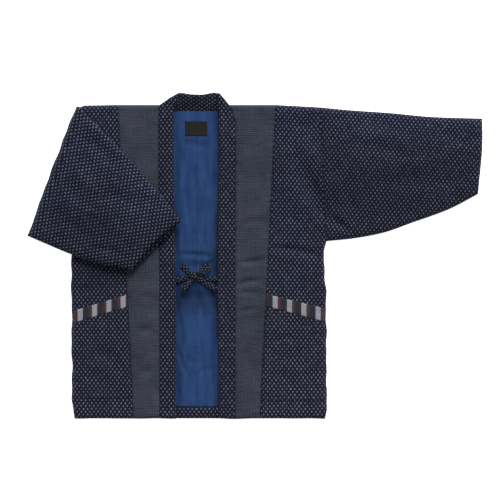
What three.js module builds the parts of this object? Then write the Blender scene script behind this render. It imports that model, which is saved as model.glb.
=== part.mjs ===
// A padded kimono jacket laid flat on its back, with the left sleeve of the view folded across the front.
// Millimetres. X runs across the jacket, Y up its length to the neck, and Z up from the surface it lies on.
// Until the last lines, x = 0 is the centre back and y = 0 the shoulder line. There the group is moved so
// that its origin is under the middle of the jacket.
import * as THREE from "three";

// Clearance at every seam and between two layers that lie on each other.
const GAP = 0.3;

// Layers, from the surface up.
const BACK_THICKNESS = 9;
const LINING_THICKNESS = 1;
const FRONT_THICKNESS = 10;
const COLLAR_THICKNESS = 11;
const POCKET_THICKNESS = 2;
const WELT_THICKNESS = 2.5;
const LABEL_THICKNESS = 0.8;
const LINING_TOP = BACK_THICKNESS + GAP + LINING_THICKNESS;
const FRONT_BOTTOM = LINING_TOP + GAP;
const FRONT_TOP = FRONT_BOTTOM + FRONT_THICKNESS;

// Body, collar and neck.
const BODY_LENGTH = 782;
const HEM_FACING = 29;
const NECK_DROP = 14;
const NECK_HALF_WIDTH = 80;
const OPENING_HALF_WIDTH = 51.5;
const COLLAR_WIDTH = 43.5;
const COLLAR_OUTER = OPENING_HALF_WIDTH + COLLAR_WIDTH;
// How far below the shoulder the collar's outer edge starts to lean in to the neck.
const COLLAR_BEND = 45;
const STRIP_EDGE_AT_SHOULDER = 197;
const STRIP_EDGE_AT_HEM = 158;
// The wadding under the bare lining stands this much higher in the middle of the front opening.
const OPENING_BULGE = 2.5;

// Half-round edges: how far the rounding reaches in, and the share of the thickness that it takes away.
const FREE_EDGE = { reach: 11, share: 0.85 };
const SEAM_EDGE = { reach: 8, share: 0.25 };
const HEM_EDGE = { reach: 9, share: 0.7 };
const LEAST_SHARE = 0.12;
// Where the stations inside a rounding lie, as shares of its reach.
const EDGE_STEPS = [0, 0.1, 0.35, 0.7, 1];
const COARSE_EDGE_STEPS = [0, 0.25, 1];

// The side edge of each half: the armhole down to y = -337, and then the side seam to the hem.
const SIDE_EDGE = {
  left: [
    { y: 20, x: -283 },
    { y: 0, x: -283 },
    { y: -337, x: -314 },
    { y: -484, x: -313 },
    { y: -762, x: -310 },
    { y: -782, x: -306 },
  ],
  right: [
    { y: 20, x: 308 },
    { y: 0, x: 308 },
    { y: -337, x: 324 },
    { y: -361, x: 317 },
    { y: -400, x: 317 },
    { y: -484, x: 321 },
    { y: -762, x: 323 },
    { y: -782, x: 319 },
  ],
};
const ARMHOLE_DEPTH = 337;
const SHOULDER_SLOPE = 0.06;
const SLOPE_START = 208;

// Collar bands: the two ends of each row across the band, from the hem up and over the shoulder to the nape.
const COLLAR_ROWS = {
  left: [
    { innerX: -51.5, innerY: -782, outerX: -95, outerY: -782, steps: 10 },
    { innerX: -51.5, innerY: -60, outerX: -95, outerY: -COLLAR_BEND, steps: 2 },
    { innerX: -54, innerY: -13, outerX: -94, outerY: 0, steps: 2 },
    { innerX: -47, innerY: 14, outerX: -68, outerY: 16, steps: 2 },
    { innerX: -38.5, innerY: 33, outerX: -46, outerY: 31, steps: 0 },
  ],
  right: [
    { innerX: 51.5, innerY: -782, outerX: 96, outerY: -782, steps: 10 },
    { innerX: 51.5, innerY: -60, outerX: 97, outerY: -COLLAR_BEND, steps: 2 },
    { innerX: 53.5, innerY: -13, outerX: 83, outerY: 0, steps: 2 },
    { innerX: 52, innerY: 12, outerX: 67, outerY: 15, steps: 2 },
    { innerX: 50, innerY: 33, outerX: 57, outerY: 28, steps: 0 },
  ],
};

// The nape part of the collar, seen from inside: its two long edges.
const NAPE_SECTIONS = [
  { lowX: -76, lowY: -13.7, highX: -44, highY: 30 },
  { lowX: -54, lowY: -13.7, highX: -32, highY: 31 },
  { lowX: -20, lowY: -13.7, highX: -14, highY: 26 },
  { lowX: 16, lowY: -13.7, highX: 12, highY: 27 },
  { lowX: 50, lowY: -13.7, highX: 42, highY: 31 },
  { lowX: 74, lowY: -13.7, highX: 54, highY: 27 },
];

// Rows of the side fronts: the height of each at the strip seam and at the side, which slope with the pocket.
const FRONT_ROWS = {
  left: [
    { inner: 0, side: -4, steps: 8 },
    { inner: -330, side: -337, steps: 3 },
    { inner: -473, side: -513, steps: 2 },
    { inner: -503, side: -543, steps: 4 },
    { inner: -730, side: -730, steps: 1 },
    { inner: -782, side: -782, steps: 0 },
  ],
  right: [
    { inner: 0, side: -6, steps: 14 },
    { inner: -330, side: -337, steps: 6 },
    { inner: -471, side: -507, steps: 2 },
    { inner: -501, side: -540, steps: 4 },
    { inner: -736, side: -736, steps: 1 },
    { inner: -782, side: -782, steps: 0 },
  ],
};
const WELT_TOP = 2;
const WELT_BOTTOM = 3;
const POCKET_BOTTOM = 4;

// The largest folds in the cloth that faces up. Each is a soft trough, or a ridge where its depth is negative.
const FOLDS = [
  { x0: 252, y0: -140, x1: 322, y1: -256, depth: 3.2, width: 15 },
  { x0: 222, y0: -196, x1: 292, y1: -272, depth: -1.6, width: 17 },
  { x0: 188, y0: -361, x1: 303, y1: -376, depth: 2.6, width: 12 },
  { x0: 104, y0: -394, x1: 172, y1: -384, depth: 1.4, width: 11 },
  { x0: 103, y0: -446, x1: 163, y1: -439, depth: 1.6, width: 11 },
  { x0: 183, y0: -591, x1: 250, y1: -581, depth: 1.2, width: 14 },
  { x0: 396, y0: -232, x1: 388, y1: -314, depth: 1.8, width: 14 },
  { x0: 330, y0: -292, x1: 372, y1: -318, depth: 2.2, width: 12 },
  { x0: 345, y0: -60, x1: 520, y1: -86, depth: -1.4, width: 24 },
  { x0: 460, y0: -190, x1: 620, y1: -150, depth: 1.3, width: 26 },
  { x0: -262, y0: -620, x1: -200, y1: -640, depth: 1.5, width: 26 },
  { x0: -150, y0: -560, x1: -105, y1: -552, depth: 1.1, width: 14 },
];

// The laid-out sleeve: its top fold and its underarm seam, from the armhole to the cuff.
const SLEEVE_THICKNESS = 20.4;
const SLEEVE_TOP_FOLD = [
  { x: 308.8, y: -6 },
  { x: 384, y: -15 },
  { x: 484, y: -23 },
  { x: 584, y: -30 },
  { x: 713.5, y: -34 },
];
const SLEEVE_UNDERARM = [
  { x: 324.5, y: -339 },
  { x: 393, y: -332 },
  { x: 470, y: -317 },
  { x: 535, y: -294 },
  { x: 631, y: -259 },
  { x: 703.7, y: -221 },
];
const SLEEVE_EDGE_REACH = 13;
const SLEEVE_EDGE_WALL = 1.5;
const SLIT = 0.6;
const SLIT_INSET = 10;
const CUFF_REACH = 10;
const CUFF_LIP = 3;
const ARMHOLE_DIP = 2.3;
const ARMHOLE_REACH = 12;

// The folded sleeve: where it is creased, and the edges of the part that lies across the front.
const FOLDED_THICKNESS = 17;
const FOLDED_ARMHOLE = { top: [-283.8, -4], bottom: [-314.4, -337] };
const CREASE = { top: [-301, -3], bottom: [-419, -324.5] };
const FOLDED_UPPER_EDGE = [
  { x: -301, y: -3 },
  { x: -240, y: -60 },
  { x: -185, y: -114 },
  { x: -110, y: -200 },
  { x: -41.5, y: -283 },
];
const FOLDED_LOWER_EDGE = [
  { x: -419, y: -324.5 },
  { x: -314, y: -371 },
  { x: -245, y: -395 },
  { x: -195, y: -404 },
  { x: -157.5, y: -411 },
];
// How far the upper lip of that cuff stands back from the lower one, at most.
const LIP_INSET = 9;
// The heights that the part lying across the front clears, by how far across it has come.
const FOLDED_LIFT = [
  { x: -345, lift: 0 },
  { x: -314, lift: 4.2 },
  { x: -110, lift: 4.6 },
  { x: -92, lift: 6 },
  { x: -40, lift: 6 },
];

// Ties.
const TIE_WIDTH = 11.5;
const TIE_THICKNESS = 2.4;
const KNOT = { x: -1.5, y: -426, z: 18.5, radiusX: 9, radiusY: 8, radiusZ: 5.2 };
const STRAP_HEIGHT = 14.35;
const ARM_HEIGHT = 17.2;
const LOOP_RISE = 5.6;
const TIES = [
  { name: "tie_strap_left", toX: -49.7, toY: -437, fromZ: STRAP_HEIGHT, toZ: 12.4 },
  { name: "tie_strap_right", toX: 50.6, toY: -431, fromZ: STRAP_HEIGHT, toZ: 12.4 },
  { name: "tie_tail_upper", toX: -37, toY: -396, fromZ: ARM_HEIGHT, toZ: 14.6 },
  { name: "tie_tail_lower", toX: 44, toY: -463, fromZ: ARM_HEIGHT, toZ: 15.6 },
];
const LOOPS = [
  { name: "tie_loop_upper", length: 44, lowAngle: 44, highAngle: 31 },
  { name: "tie_loop_lower", length: 49, lowAngle: 232, highAngle: 243 },
];

const LABEL = { left: -28.5, right: 26.5, top: -39, bottom: -76, columns: 4 };

function clothMaterial(colour) {
  return new THREE.MeshStandardMaterial({ color: colour, roughness: 0.92, metalness: 0, side: THREE.FrontSide });
}
const DOTTED_COTTON = clothMaterial("#2b2d3c");
const SLATE_COTTON = clothMaterial("#3c414c");
const BLUE_LINING = clothMaterial("#2b4370");
const STRIPED_COTTON = clothMaterial("#8b8a90");
const LABEL_SATIN = clothMaterial("#242220");

const jacket = new THREE.Group();

function add(name, points, faces, material) {
  const geometry = new THREE.BufferGeometry().setFromPoints(points);
  const signedVolume = faces.reduce(
    (sum, [a, b, c]) => sum + points[a].dot(points[b].clone().cross(points[c])),
    0,
  );
  const outward = signedVolume > 0 ? faces : faces.map(([a, b, c]) => [a, c, b]);
  geometry.setIndex(outward.flat());
  geometry.computeVertexNormals();
  const mesh = new THREE.Mesh(geometry, material);
  mesh.name = name;
  jacket.add(mesh);
}

// A value at t in a table of rows, by straight lines between the rows.
function lookUp(table, key, value, t) {
  const rising = table[0][key] < table[table.length - 1][key];
  const rows = rising ? table : [...table].reverse();
  if (t <= rows[0][key]) return rows[0][value];
  for (let i = 1; i < rows.length; i++) {
    if (t <= rows[i][key]) {
      const share = (t - rows[i - 1][key]) / (rows[i][key] - rows[i - 1][key] || 1);
      return THREE.MathUtils.lerp(rows[i - 1][value], rows[i][value], share);
    }
  }
  return rows[rows.length - 1][value];
}

// The rounding of an edge: 0 at the edge, rising as a quarter circle to 1 where the rounding ends.
function crown(distance, reach) {
  if (distance >= reach) return 1;
  return Math.sqrt(1 - (1 - distance / reach) ** 2);
}

// Stations along a length, close together inside the rounding at each end.
function stations(length, startReach, endReach, inner, edgeSteps = EDGE_STEPS) {
  const start = startReach > 0 ? edgeSteps.map((s) => s * startReach) : [0];
  const end = endReach > 0 ? edgeSteps.map((s) => length - s * endReach).reverse() : [length];
  const from = start[start.length - 1];
  const to = end[0];
  const middle = Array.from({ length: inner }, (_, i) => from + ((to - from) * (i + 1)) / (inner + 1));
  return [...start, ...middle, ...end];
}

// How deep the folds take the cloth down at a place.
function foldDepth(x, y) {
  let depth = 0;
  for (const fold of FOLDS) {
    const alongX = fold.x1 - fold.x0;
    const alongY = fold.y1 - fold.y0;
    const length = Math.hypot(alongX, alongY);
    const t = ((x - fold.x0) * alongX + (y - fold.y0) * alongY) / length ** 2;
    const off = Math.abs((x - fold.x0) * alongY - (y - fold.y0) * alongX) / length;
    const past = Math.max(0, -t, t - 1) * length;
    depth += fold.depth * Math.exp(-((off / fold.width) ** 2) - (past / fold.width) ** 2);
  }
  return depth;
}

// The wadding's slow rise and fall.
function billow(x, y) {
  return 0.7 * Math.sin(x / 47 + 1.1) * Math.sin(y / 71 + 0.6);
}

function shoulderLine(x) {
  return -SHOULDER_SLOPE * Math.max(0, Math.abs(x) - SLOPE_START);
}

function openingBulge(x) {
  return OPENING_BULGE * Math.max(0, 1 - (x / OPENING_HALF_WIDTH) ** 2);
}

// Distances of each point of a plan grid from the grid's four edges, along its rows and columns.
function edgeDistances(plan) {
  const rows = plan.length;
  const columns = plan[0].length;
  const step = (a, b) => Math.hypot(a[0] - b[0], a[1] - b[1]);
  const along = plan.map((row) => {
    const sums = [0];
    for (let j = 1; j < columns; j++) sums.push(sums[j - 1] + step(row[j], row[j - 1]));
    return sums;
  });
  const down = plan[0].map(() => [0]);
  for (let i = 1; i < rows; i++)
    for (let j = 0; j < columns; j++) down[j].push(down[j][i - 1] + step(plan[i][j], plan[i - 1][j]));
  return (i, j) => ({
    first: along[i][j],
    last: along[i][columns - 1] - along[i][j],
    start: down[j][i],
    end: down[j][rows - 1] - down[j][i],
  });
}

// The share of its thickness that a padded piece has at a point, from the edges that round it off.
function thicknessShare(edges, distances, y) {
  let share = 1;
  for (const side of ["first", "last", "start", "end"]) {
    const edge = typeof edges[side] === "function" ? edges[side](y) : edges[side];
    if (edge) share *= 1 - edge.share * (1 - crown(distances[side], edge.reach));
  }
  return Math.max(share, LEAST_SHARE);
}

// A padded piece over a plan grid, between two heights. Its edges close at the height closeAt, and shift moves
// the upper side of the piece.
function paddedPiece({ plan, low, high, closeAt, edges, shift }) {
  const distances = edgeDistances(plan);
  const top = [];
  const bottom = [];
  plan.forEach((row, i) => {
    top.push([]);
    bottom.push([]);
    row.forEach(([x, y], j) => {
      const share = thicknessShare(edges, distances(i, j), y);
      top[i].push(new THREE.Vector3(x, y, closeAt + (high - closeAt) * share + shift(x, y) * share));
      bottom[i].push(new THREE.Vector3(x, y, closeAt - (closeAt - low) * share));
    });
  });
  return { top, bottom };
}

// A thin piece that lies on the upper points of another, a clearance above them.
function layerOn(points, thickness) {
  const moved = (height) => points.map((row) => row.map((p) => new THREE.Vector3(p.x, p.y, p.z + height)));
  return { top: moved(GAP + thickness), bottom: moved(GAP) };
}

// Adds the closed solid between two grids of points that share their plan.
function addSheet(name, { top, bottom }, material) {
  const rows = top.length;
  const columns = top[0].length;
  const points = [...top.flat(), ...bottom.flat()];
  const under = rows * columns;
  const at = (i, j) => i * columns + j;
  const faces = [];
  const quad = (a, b, c, d) => faces.push([a, b, c], [a, c, d]);
  for (let i = 0; i < rows - 1; i++) {
    for (let j = 0; j < columns - 1; j++) {
      quad(at(i, j), at(i + 1, j), at(i + 1, j + 1), at(i, j + 1));
      quad(under + at(i, j), under + at(i, j + 1), under + at(i + 1, j + 1), under + at(i + 1, j));
    }
  }
  const wall = (a, b) => quad(a, b, under + b, under + a);
  for (let j = 0; j < columns - 1; j++) {
    wall(at(0, j), at(0, j + 1));
    wall(at(rows - 1, j + 1), at(rows - 1, j));
  }
  for (let i = 0; i < rows - 1; i++) {
    wall(at(i + 1, 0), at(i, 0));
    wall(at(i, columns - 1), at(i + 1, columns - 1));
  }
  add(name, points, faces, material);
}

// A row of plan points between two ends, at the stations for its own length.
function planRow(left, right, leftReach, rightReach, inner, edgeSteps = EDGE_STEPS) {
  const length = Math.hypot(right[0] - left[0], right[1] - left[1]);
  return stations(length, leftReach, rightReach, inner, edgeSteps).map((d) => [
    THREE.MathUtils.lerp(left[0], right[0], d / length),
    THREE.MathUtils.lerp(left[1], right[1], d / length),
  ]);
}

// Rows between the rows of a table, with rounding stations at the first and last. Returns each row's numbers
// and the index of each table row.
function subdivide(table, keys, startReach, endReach, edgeSteps = EDGE_STEPS) {
  const rows = [];
  const marks = [];
  table.forEach((row, k) => {
    marks.push(rows.length);
    if (k === table.length - 1) {
      rows.push(row);
      return;
    }
    const next = table[k + 1];
    const length = Math.max(...keys.map((key) => Math.abs(next[key] - row[key])));
    const reachIn = k === 0 ? startReach : 0;
    const reachOut = k === table.length - 2 ? endReach : 0;
    for (const d of stations(length, reachIn, reachOut, row.steps - 1, edgeSteps).slice(0, -1)) {
      const between = (key) => THREE.MathUtils.lerp(row[key], next[key], d / length);
      rows.push(Object.fromEntries(keys.map((key) => [key, between(key)])));
    }
  });
  return { rows, marks };
}

function collarOuterX(side, y) {
  return lookUp(COLLAR_ROWS[side], "outerY", "outerX", y);
}

function stripEdge(sign, y) {
  return sign * THREE.MathUtils.lerp(STRIP_EDGE_AT_SHOULDER, STRIP_EDGE_AT_HEM, -y / BODY_LENGTH);
}

function frontShift(x, y) {
  return billow(x, y) - foldDepth(x, y);
}

// The outer edge of the side pieces: sewn to the sleeve above the underarm and free below it.
function sideSeamOrArmhole(y) {
  return y > -ARMHOLE_DEPTH ? SEAM_EDGE : FREE_EDGE;
}

// Back halves, each with its lining and a part of the hem facing on top of its own points.
function buildBack(side, sign) {
  const neckEdge = (x) => {
    const rise = THREE.MathUtils.clamp((Math.abs(x) - NECK_HALF_WIDTH) / (COLLAR_OUTER - NECK_HALF_WIDTH), 0, 1);
    return THREE.MathUtils.lerp(-NECK_DROP, shoulderLine(x), rise);
  };
  const innerX = (sign * GAP) / 2;
  const acrossTo = (edge) => [
    innerX,
    ...[0.25, 0.5, 0.78, 1].map((s) => sign * s * OPENING_HALF_WIDTH),
    sign * NECK_HALF_WIDTH,
    sign * COLLAR_OUTER,
    ...stations(Math.abs(edge) - COLLAR_OUTER, 0, FREE_EDGE.reach, 2)
      .slice(1)
      .map((d) => sign * (COLLAR_OUTER + d)),
  ];
  const depths = [
    ...stations(BODY_LENGTH - HEM_FACING, HEM_EDGE.reach, 0, 6, COARSE_EDGE_STEPS),
    ...stations(HEM_FACING, 0, HEM_EDGE.reach, 0, COARSE_EDGE_STEPS)
      .slice(1)
      .map((d) => d + BODY_LENGTH - HEM_FACING),
  ];
  const plan = depths.map((depth) => {
    const edge = lookUp(SIDE_EDGE[side], "y", "x", -depth);
    const fall = 1 - depth / BODY_LENGTH;
    return acrossTo(edge).map((x) => [x, -depth + neckEdge(x) * fall]);
  });
  const pad = paddedPiece({
    plan,
    low: 0,
    high: BACK_THICKNESS,
    closeAt: BACK_THICKNESS,
    edges: { last: sideSeamOrArmholeUnder, start: HEM_EDGE, end: HEM_EDGE },
    shift: (x) => openingBulge(x),
  });
  addSheet(`back_${side}`, pad, DOTTED_COTTON);
  const facingRow = depths.findIndex((d) => d >= BODY_LENGTH - HEM_FACING - 0.01);
  const lastColumn = plan[0].length - 3;
  const upper = pad.top.map((row) => row.slice(0, lastColumn).map((p) => new THREE.Vector3(p.x, p.y, p.z)));
  const nudge = (row, amount) => row.map((p) => new THREE.Vector3(p.x, p.y + amount, p.z));
  const liningRows = [...upper.slice(0, facingRow), nudge(upper[facingRow], GAP / 2)];
  addSheet(`lining_${side}`, layerOn(liningRows, LINING_THICKNESS), BLUE_LINING);
  const facingRows = [nudge(upper[facingRow], -GAP / 2), ...upper.slice(facingRow + 1)];
  addSheet(`hem_facing_${side}`, layerOn(facingRows, LINING_THICKNESS), DOTTED_COTTON);
}

// The back lies flat under the armhole seam, and rounds up from the surface at its free side.
function sideSeamOrArmholeUnder(y) {
  return y > -ARMHOLE_DEPTH ? null : FREE_EDGE;
}

// Collar band of one front, which runs on over the shoulder to the nape.
function buildCollarBand(side) {
  const { rows } = subdivide(
    COLLAR_ROWS[side],
    ["innerX", "innerY", "outerX", "outerY"],
    HEM_EDGE.reach,
    HEM_EDGE.reach,
    COARSE_EDGE_STEPS,
  );
  const innerReach = 9;
  const plan = rows.map((row) => {
    const width = Math.hypot(row.innerX - row.outerX, row.innerY - row.outerY);
    const tight = Math.min(1, width / COLLAR_WIDTH);
    const reaches = [innerReach * tight, SEAM_EDGE.reach * tight];
    return planRow([row.innerX, row.innerY], [row.outerX, row.outerY], ...reaches, 1);
  });
  const band = paddedPiece({
    plan,
    low: FRONT_BOTTOM,
    high: FRONT_BOTTOM + COLLAR_THICKNESS,
    closeAt: FRONT_BOTTOM,
    edges: { first: { reach: innerReach, share: 0.8 }, last: SEAM_EDGE, start: HEM_EDGE, end: HEM_EDGE },
    shift: (x, y) => 0.5 * billow(x, y),
  });
  addSheet(`collar_${side}`, band, DOTTED_COTTON);
}

function buildNape() {
  const across = [0, 0.12, 0.3, 0.55, 0.8, 0.93, 1];
  const plan = NAPE_SECTIONS.map((s) =>
    across.map((t) => [THREE.MathUtils.lerp(s.lowX, s.highX, t), THREE.MathUtils.lerp(s.lowY, s.highY, t)]),
  );
  const nape = paddedPiece({
    plan,
    low: 0,
    high: LINING_TOP,
    closeAt: LINING_TOP * 0.55,
    edges: { last: { reach: 9, share: 0.7 } },
    shift: () => 0,
  });
  addSheet("collar_nape", nape, DOTTED_COTTON);
}

// Slate strip between the collar band and the side front.
function buildStrip(side, sign) {
  const depths = [
    ...stations(COLLAR_BEND, FREE_EDGE.reach, 0, 0, COARSE_EDGE_STEPS),
    ...stations(BODY_LENGTH - COLLAR_BEND, 0, HEM_EDGE.reach, side === "right" ? 16 : 11, COARSE_EDGE_STEPS)
      .slice(1)
      .map((d) => d + COLLAR_BEND),
  ];
  const plan = depths.map((depth) => {
    const inner = collarOuterX(side, -depth) + sign * GAP;
    const outer = stripEdge(sign, -depth) - sign * GAP;
    return planRow([inner, -depth], [outer, -depth], SEAM_EDGE.reach, SEAM_EDGE.reach, 2, COARSE_EDGE_STEPS);
  });
  const strip = paddedPiece({
    plan,
    low: FRONT_BOTTOM,
    high: FRONT_TOP,
    closeAt: FRONT_BOTTOM,
    edges: { first: SEAM_EDGE, last: SEAM_EDGE, start: FREE_EDGE, end: HEM_EDGE },
    shift: frontShift,
  });
  addSheet(`strip_${side}`, strip, SLATE_COTTON);
}

// Side front with its pocket and the welt on the pocket's slanting mouth.
function buildSideFront(side, sign) {
  const { rows, marks } = subdivide(
    FRONT_ROWS[side],
    ["inner", "side"],
    FREE_EDGE.reach,
    HEM_EDGE.reach,
    COARSE_EDGE_STEPS,
  );
  const inner = side === "right" ? 4 : 2;
  const plan = rows.map((row) => {
    const left = [stripEdge(sign, row.inner), row.inner];
    const right = [lookUp(SIDE_EDGE[side], "y", "x", row.side), row.side];
    return planRow(left, right, SEAM_EDGE.reach, FREE_EDGE.reach, inner);
  });
  const front = paddedPiece({
    plan,
    low: FRONT_BOTTOM,
    high: FRONT_TOP,
    closeAt: FRONT_BOTTOM,
    edges: { first: SEAM_EDGE, last: sideSeamOrArmhole, start: FREE_EDGE, end: HEM_EDGE },
    shift: frontShift,
  });
  addSheet(`front_${side}`, front, DOTTED_COTTON);
  const columns = plan[0].length;
  const part = (from, to) => front.top.slice(from, to + 1).map((row) => row.slice(1, columns - 2));
  const nudge = (row, amount) => row.map((p) => new THREE.Vector3(p.x, p.y + amount, p.z));
  const welt = part(marks[WELT_TOP], marks[WELT_BOTTOM]);
  welt[welt.length - 1] = nudge(welt[welt.length - 1], GAP / 2);
  addSheet(`pocket_welt_${side}`, layerOn(welt, WELT_THICKNESS), STRIPED_COTTON);
  const pocket = part(marks[WELT_BOTTOM], marks[POCKET_BOTTOM]);
  pocket[0] = nudge(pocket[0], -GAP / 2);
  addSheet(`pocket_${side}`, layerOn(pocket, POCKET_THICKNESS), DOTTED_COTTON);
}

function curveThrough(table) {
  return new THREE.CatmullRomCurve3(table.map(({ x, y }) => new THREE.Vector3(x, y, 0)), false, "centripetal");
}

// Ring of a flattened tube at one station. Each point is a distance across from the top fold and a height
// through the tube's thickness: first the lower side from the top fold to the underarm, then the upper side.
function sleeveRing(width, thickness, upperShare, lowerShare) {
  const half = thickness / 2;
  const across = stations(width, SLEEVE_EDGE_REACH, SLEEVE_EDGE_REACH, 4);
  const slitScale = (width - 2 * SLIT_INSET) / width;
  const outside = [];
  const inside = [];
  const addSide = (list, direction, share) => {
    for (const d of list) {
      const edge = Math.min(crown(d, SLEEVE_EDGE_REACH), crown(width - d, SLEEVE_EDGE_REACH));
      const rise = SLEEVE_EDGE_WALL / 2 + (half * share - SLEEVE_EDGE_WALL / 2) * edge;
      outside.push({ q: d / width, h: half + direction * rise });
      inside.push({ q: (SLIT_INSET + d * slitScale) / width, h: half + (direction * SLIT) / 2 });
    }
  };
  addSide(across, -1, lowerShare);
  addSide([...across].reverse(), 1, upperShare);
  return { outside, inside };
}

// Adds a tube from rings of points, open at both ends through a slit.
function addTube(name, rings, material) {
  const count = rings[0].outside.length;
  const points = rings.flatMap((ring) => [...ring.outside, ...ring.inside]);
  const outer = (i, j) => i * 2 * count + (j % count);
  const inner = (i, j) => i * 2 * count + count + (j % count);
  const faces = [];
  const quad = (a, b, c, d) => faces.push([a, b, c], [a, c, d]);
  for (let i = 0; i < rings.length - 1; i++) {
    for (let j = 0; j < count; j++) {
      quad(outer(i, j), outer(i + 1, j), outer(i + 1, j + 1), outer(i, j + 1));
      quad(inner(i, j), inner(i, j + 1), inner(i + 1, j + 1), inner(i + 1, j));
    }
  }
  const last = rings.length - 1;
  for (let j = 0; j < count; j++) {
    quad(outer(0, j), outer(0, j + 1), inner(0, j + 1), inner(0, j));
    quad(outer(last, j + 1), outer(last, j), inner(last, j), inner(last, j + 1));
  }
  add(name, points, faces, material);
}

// The share of its half thickness that a sleeve has near its cuff.
function cuffShare(distance, thickness) {
  const lip = (2 * CUFF_LIP) / thickness;
  return lip + (1 - lip) * crown(distance, CUFF_REACH);
}

function buildLaidSleeve() {
  const topFold = curveThrough(SLEEVE_TOP_FOLD);
  const underarm = curveThrough(SLEEVE_UNDERARM);
  const length = topFold.getLength();
  const alongSleeve = stations(length, ARMHOLE_REACH, CUFF_REACH, 7);
  const rings = alongSleeve.map((d) => {
    const top = topFold.getPointAt(d / length);
    const bottom = underarm.getPointAt(d / length);
    const width = top.distanceTo(bottom);
    const dip = (ARMHOLE_DIP / (SLEEVE_THICKNESS / 2)) * (1 - crown(d, ARMHOLE_REACH));
    const cuff = cuffShare(length - d, SLEEVE_THICKNESS);
    const ring = sleeveRing(width, SLEEVE_THICKNESS, cuff - dip, cuff);
    const place = ({ q, h }, isOutside) => {
      const p = top.clone().lerp(bottom, q);
      const upper = isOutside && h > SLEEVE_THICKNESS / 2 + 1;
      const edge = crown(Math.min(q, 1 - q) * width, SLEEVE_EDGE_REACH * 2) * crown(length - d, CUFF_REACH * 2);
      p.z = h + (upper ? edge * frontShift(p.x, p.y) : 0);
      return p;
    };
    return {
      outside: ring.outside.map((r) => place(r, true)),
      inside: ring.inside.map((r) => place(r, false)),
    };
  });
  addTube("sleeve_right", rings, DOTTED_COTTON);
}

// The folded sleeve runs left from the armhole on the surface, turns over at the crease, and comes back
// across the front with its other side up.
function buildFoldedSleeve() {
  const half = FOLDED_THICKNESS / 2;
  const axisHeight = FOLDED_THICKNESS + GAP;
  const point = ([x, y]) => new THREE.Vector3(x, y, 0);
  const armhole = { top: point(FOLDED_ARMHOLE.top), bottom: point(FOLDED_ARMHOLE.bottom) };
  const crease = { top: point(CREASE.top), bottom: point(CREASE.bottom) };
  const creaseLine = crease.bottom.clone().sub(crease.top).normalize();
  const inward = new THREE.Vector3(-creaseLine.y, creaseLine.x, 0);
  const creaseWidth = crease.top.distanceTo(crease.bottom);
  const armholeWidth = armhole.top.distanceTo(armhole.bottom);
  const upperEdge = curveThrough(FOLDED_UPPER_EDGE);
  const lowerEdge = curveThrough(FOLDED_LOWER_EDGE);
  const overLength = upperEdge.getLength();

  // How far in from the crease the axis of the turn lies, so that the outside of the turn is on the crease.
  const turnRadius = (q) => {
    const edge = crown(Math.min(q, 1 - q) * creaseWidth, SLEEVE_EDGE_REACH);
    return axisHeight - (half - (SLEEVE_EDGE_WALL / 2 + (half - SLEEVE_EDGE_WALL / 2) * edge));
  };
  const lift = (x) => lookUp(FOLDED_LIFT, "x", "lift", x);
  const axisPoint = (q) => crease.top.clone().lerp(crease.bottom, q).addScaledVector(inward, turnRadius(q));

  const stationList = [
    ...[0, 0.5].map((s) => ({ kind: "under", s })),
    ...[-90, -60, -30, 0, 30, 60, 90].map((angle) => ({ kind: "turn", angle })),
    ...stations(overLength, 0, CUFF_REACH, 7).slice(1).map((d) => ({ kind: "over", s: d / overLength })),
  ];
  const rings = stationList.map((station) => {
    let width = creaseWidth;
    if (station.kind === "under") width = THREE.MathUtils.lerp(armholeWidth, creaseWidth, station.s);
    const upper = station.kind === "over" ? upperEdge.getPointAt(station.s) : null;
    const lower = station.kind === "over" ? lowerEdge.getPointAt(station.s) : null;
    if (upper) width = upper.distanceTo(lower);
    const cuff = station.kind === "over" ? cuffShare((1 - station.s) * overLength, FOLDED_THICKNESS) : 1;
    const ring = sleeveRing(width, FOLDED_THICKNESS, cuff, cuff);
    const place = ({ q, h }) => {
      if (station.kind === "under") {
        const p = armhole.top.clone().lerp(armhole.bottom, q).lerp(axisPoint(q), station.s);
        p.z = h;
        return p;
      }
      if (station.kind === "turn") {
        const angle = THREE.MathUtils.degToRad(station.angle);
        const p = axisPoint(q).addScaledVector(inward, -(axisHeight - h) * Math.cos(angle));
        p.z = axisHeight + (axisHeight - h) * Math.sin(angle) + lift(p.x) * ((1 + Math.sin(angle)) / 2);
        return p;
      }
      const p = upper.clone().lerp(lower, q);
      const fade = Math.max(0, 1 - station.s * 3);
      const inset = h < half ? LIP_INSET * station.s ** 6 * Math.sin(Math.PI * q) : 0;
      p.addScaledVector(inward, turnRadius(q) * fade - inset);
      p.z = 2 * axisHeight - h + lift(p.x);
      return p;
    };
    return { outside: ring.outside.map(place), inside: ring.inside.map(place) };
  });
  addTube("sleeve_left", rings, DOTTED_COTTON);
}

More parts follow.
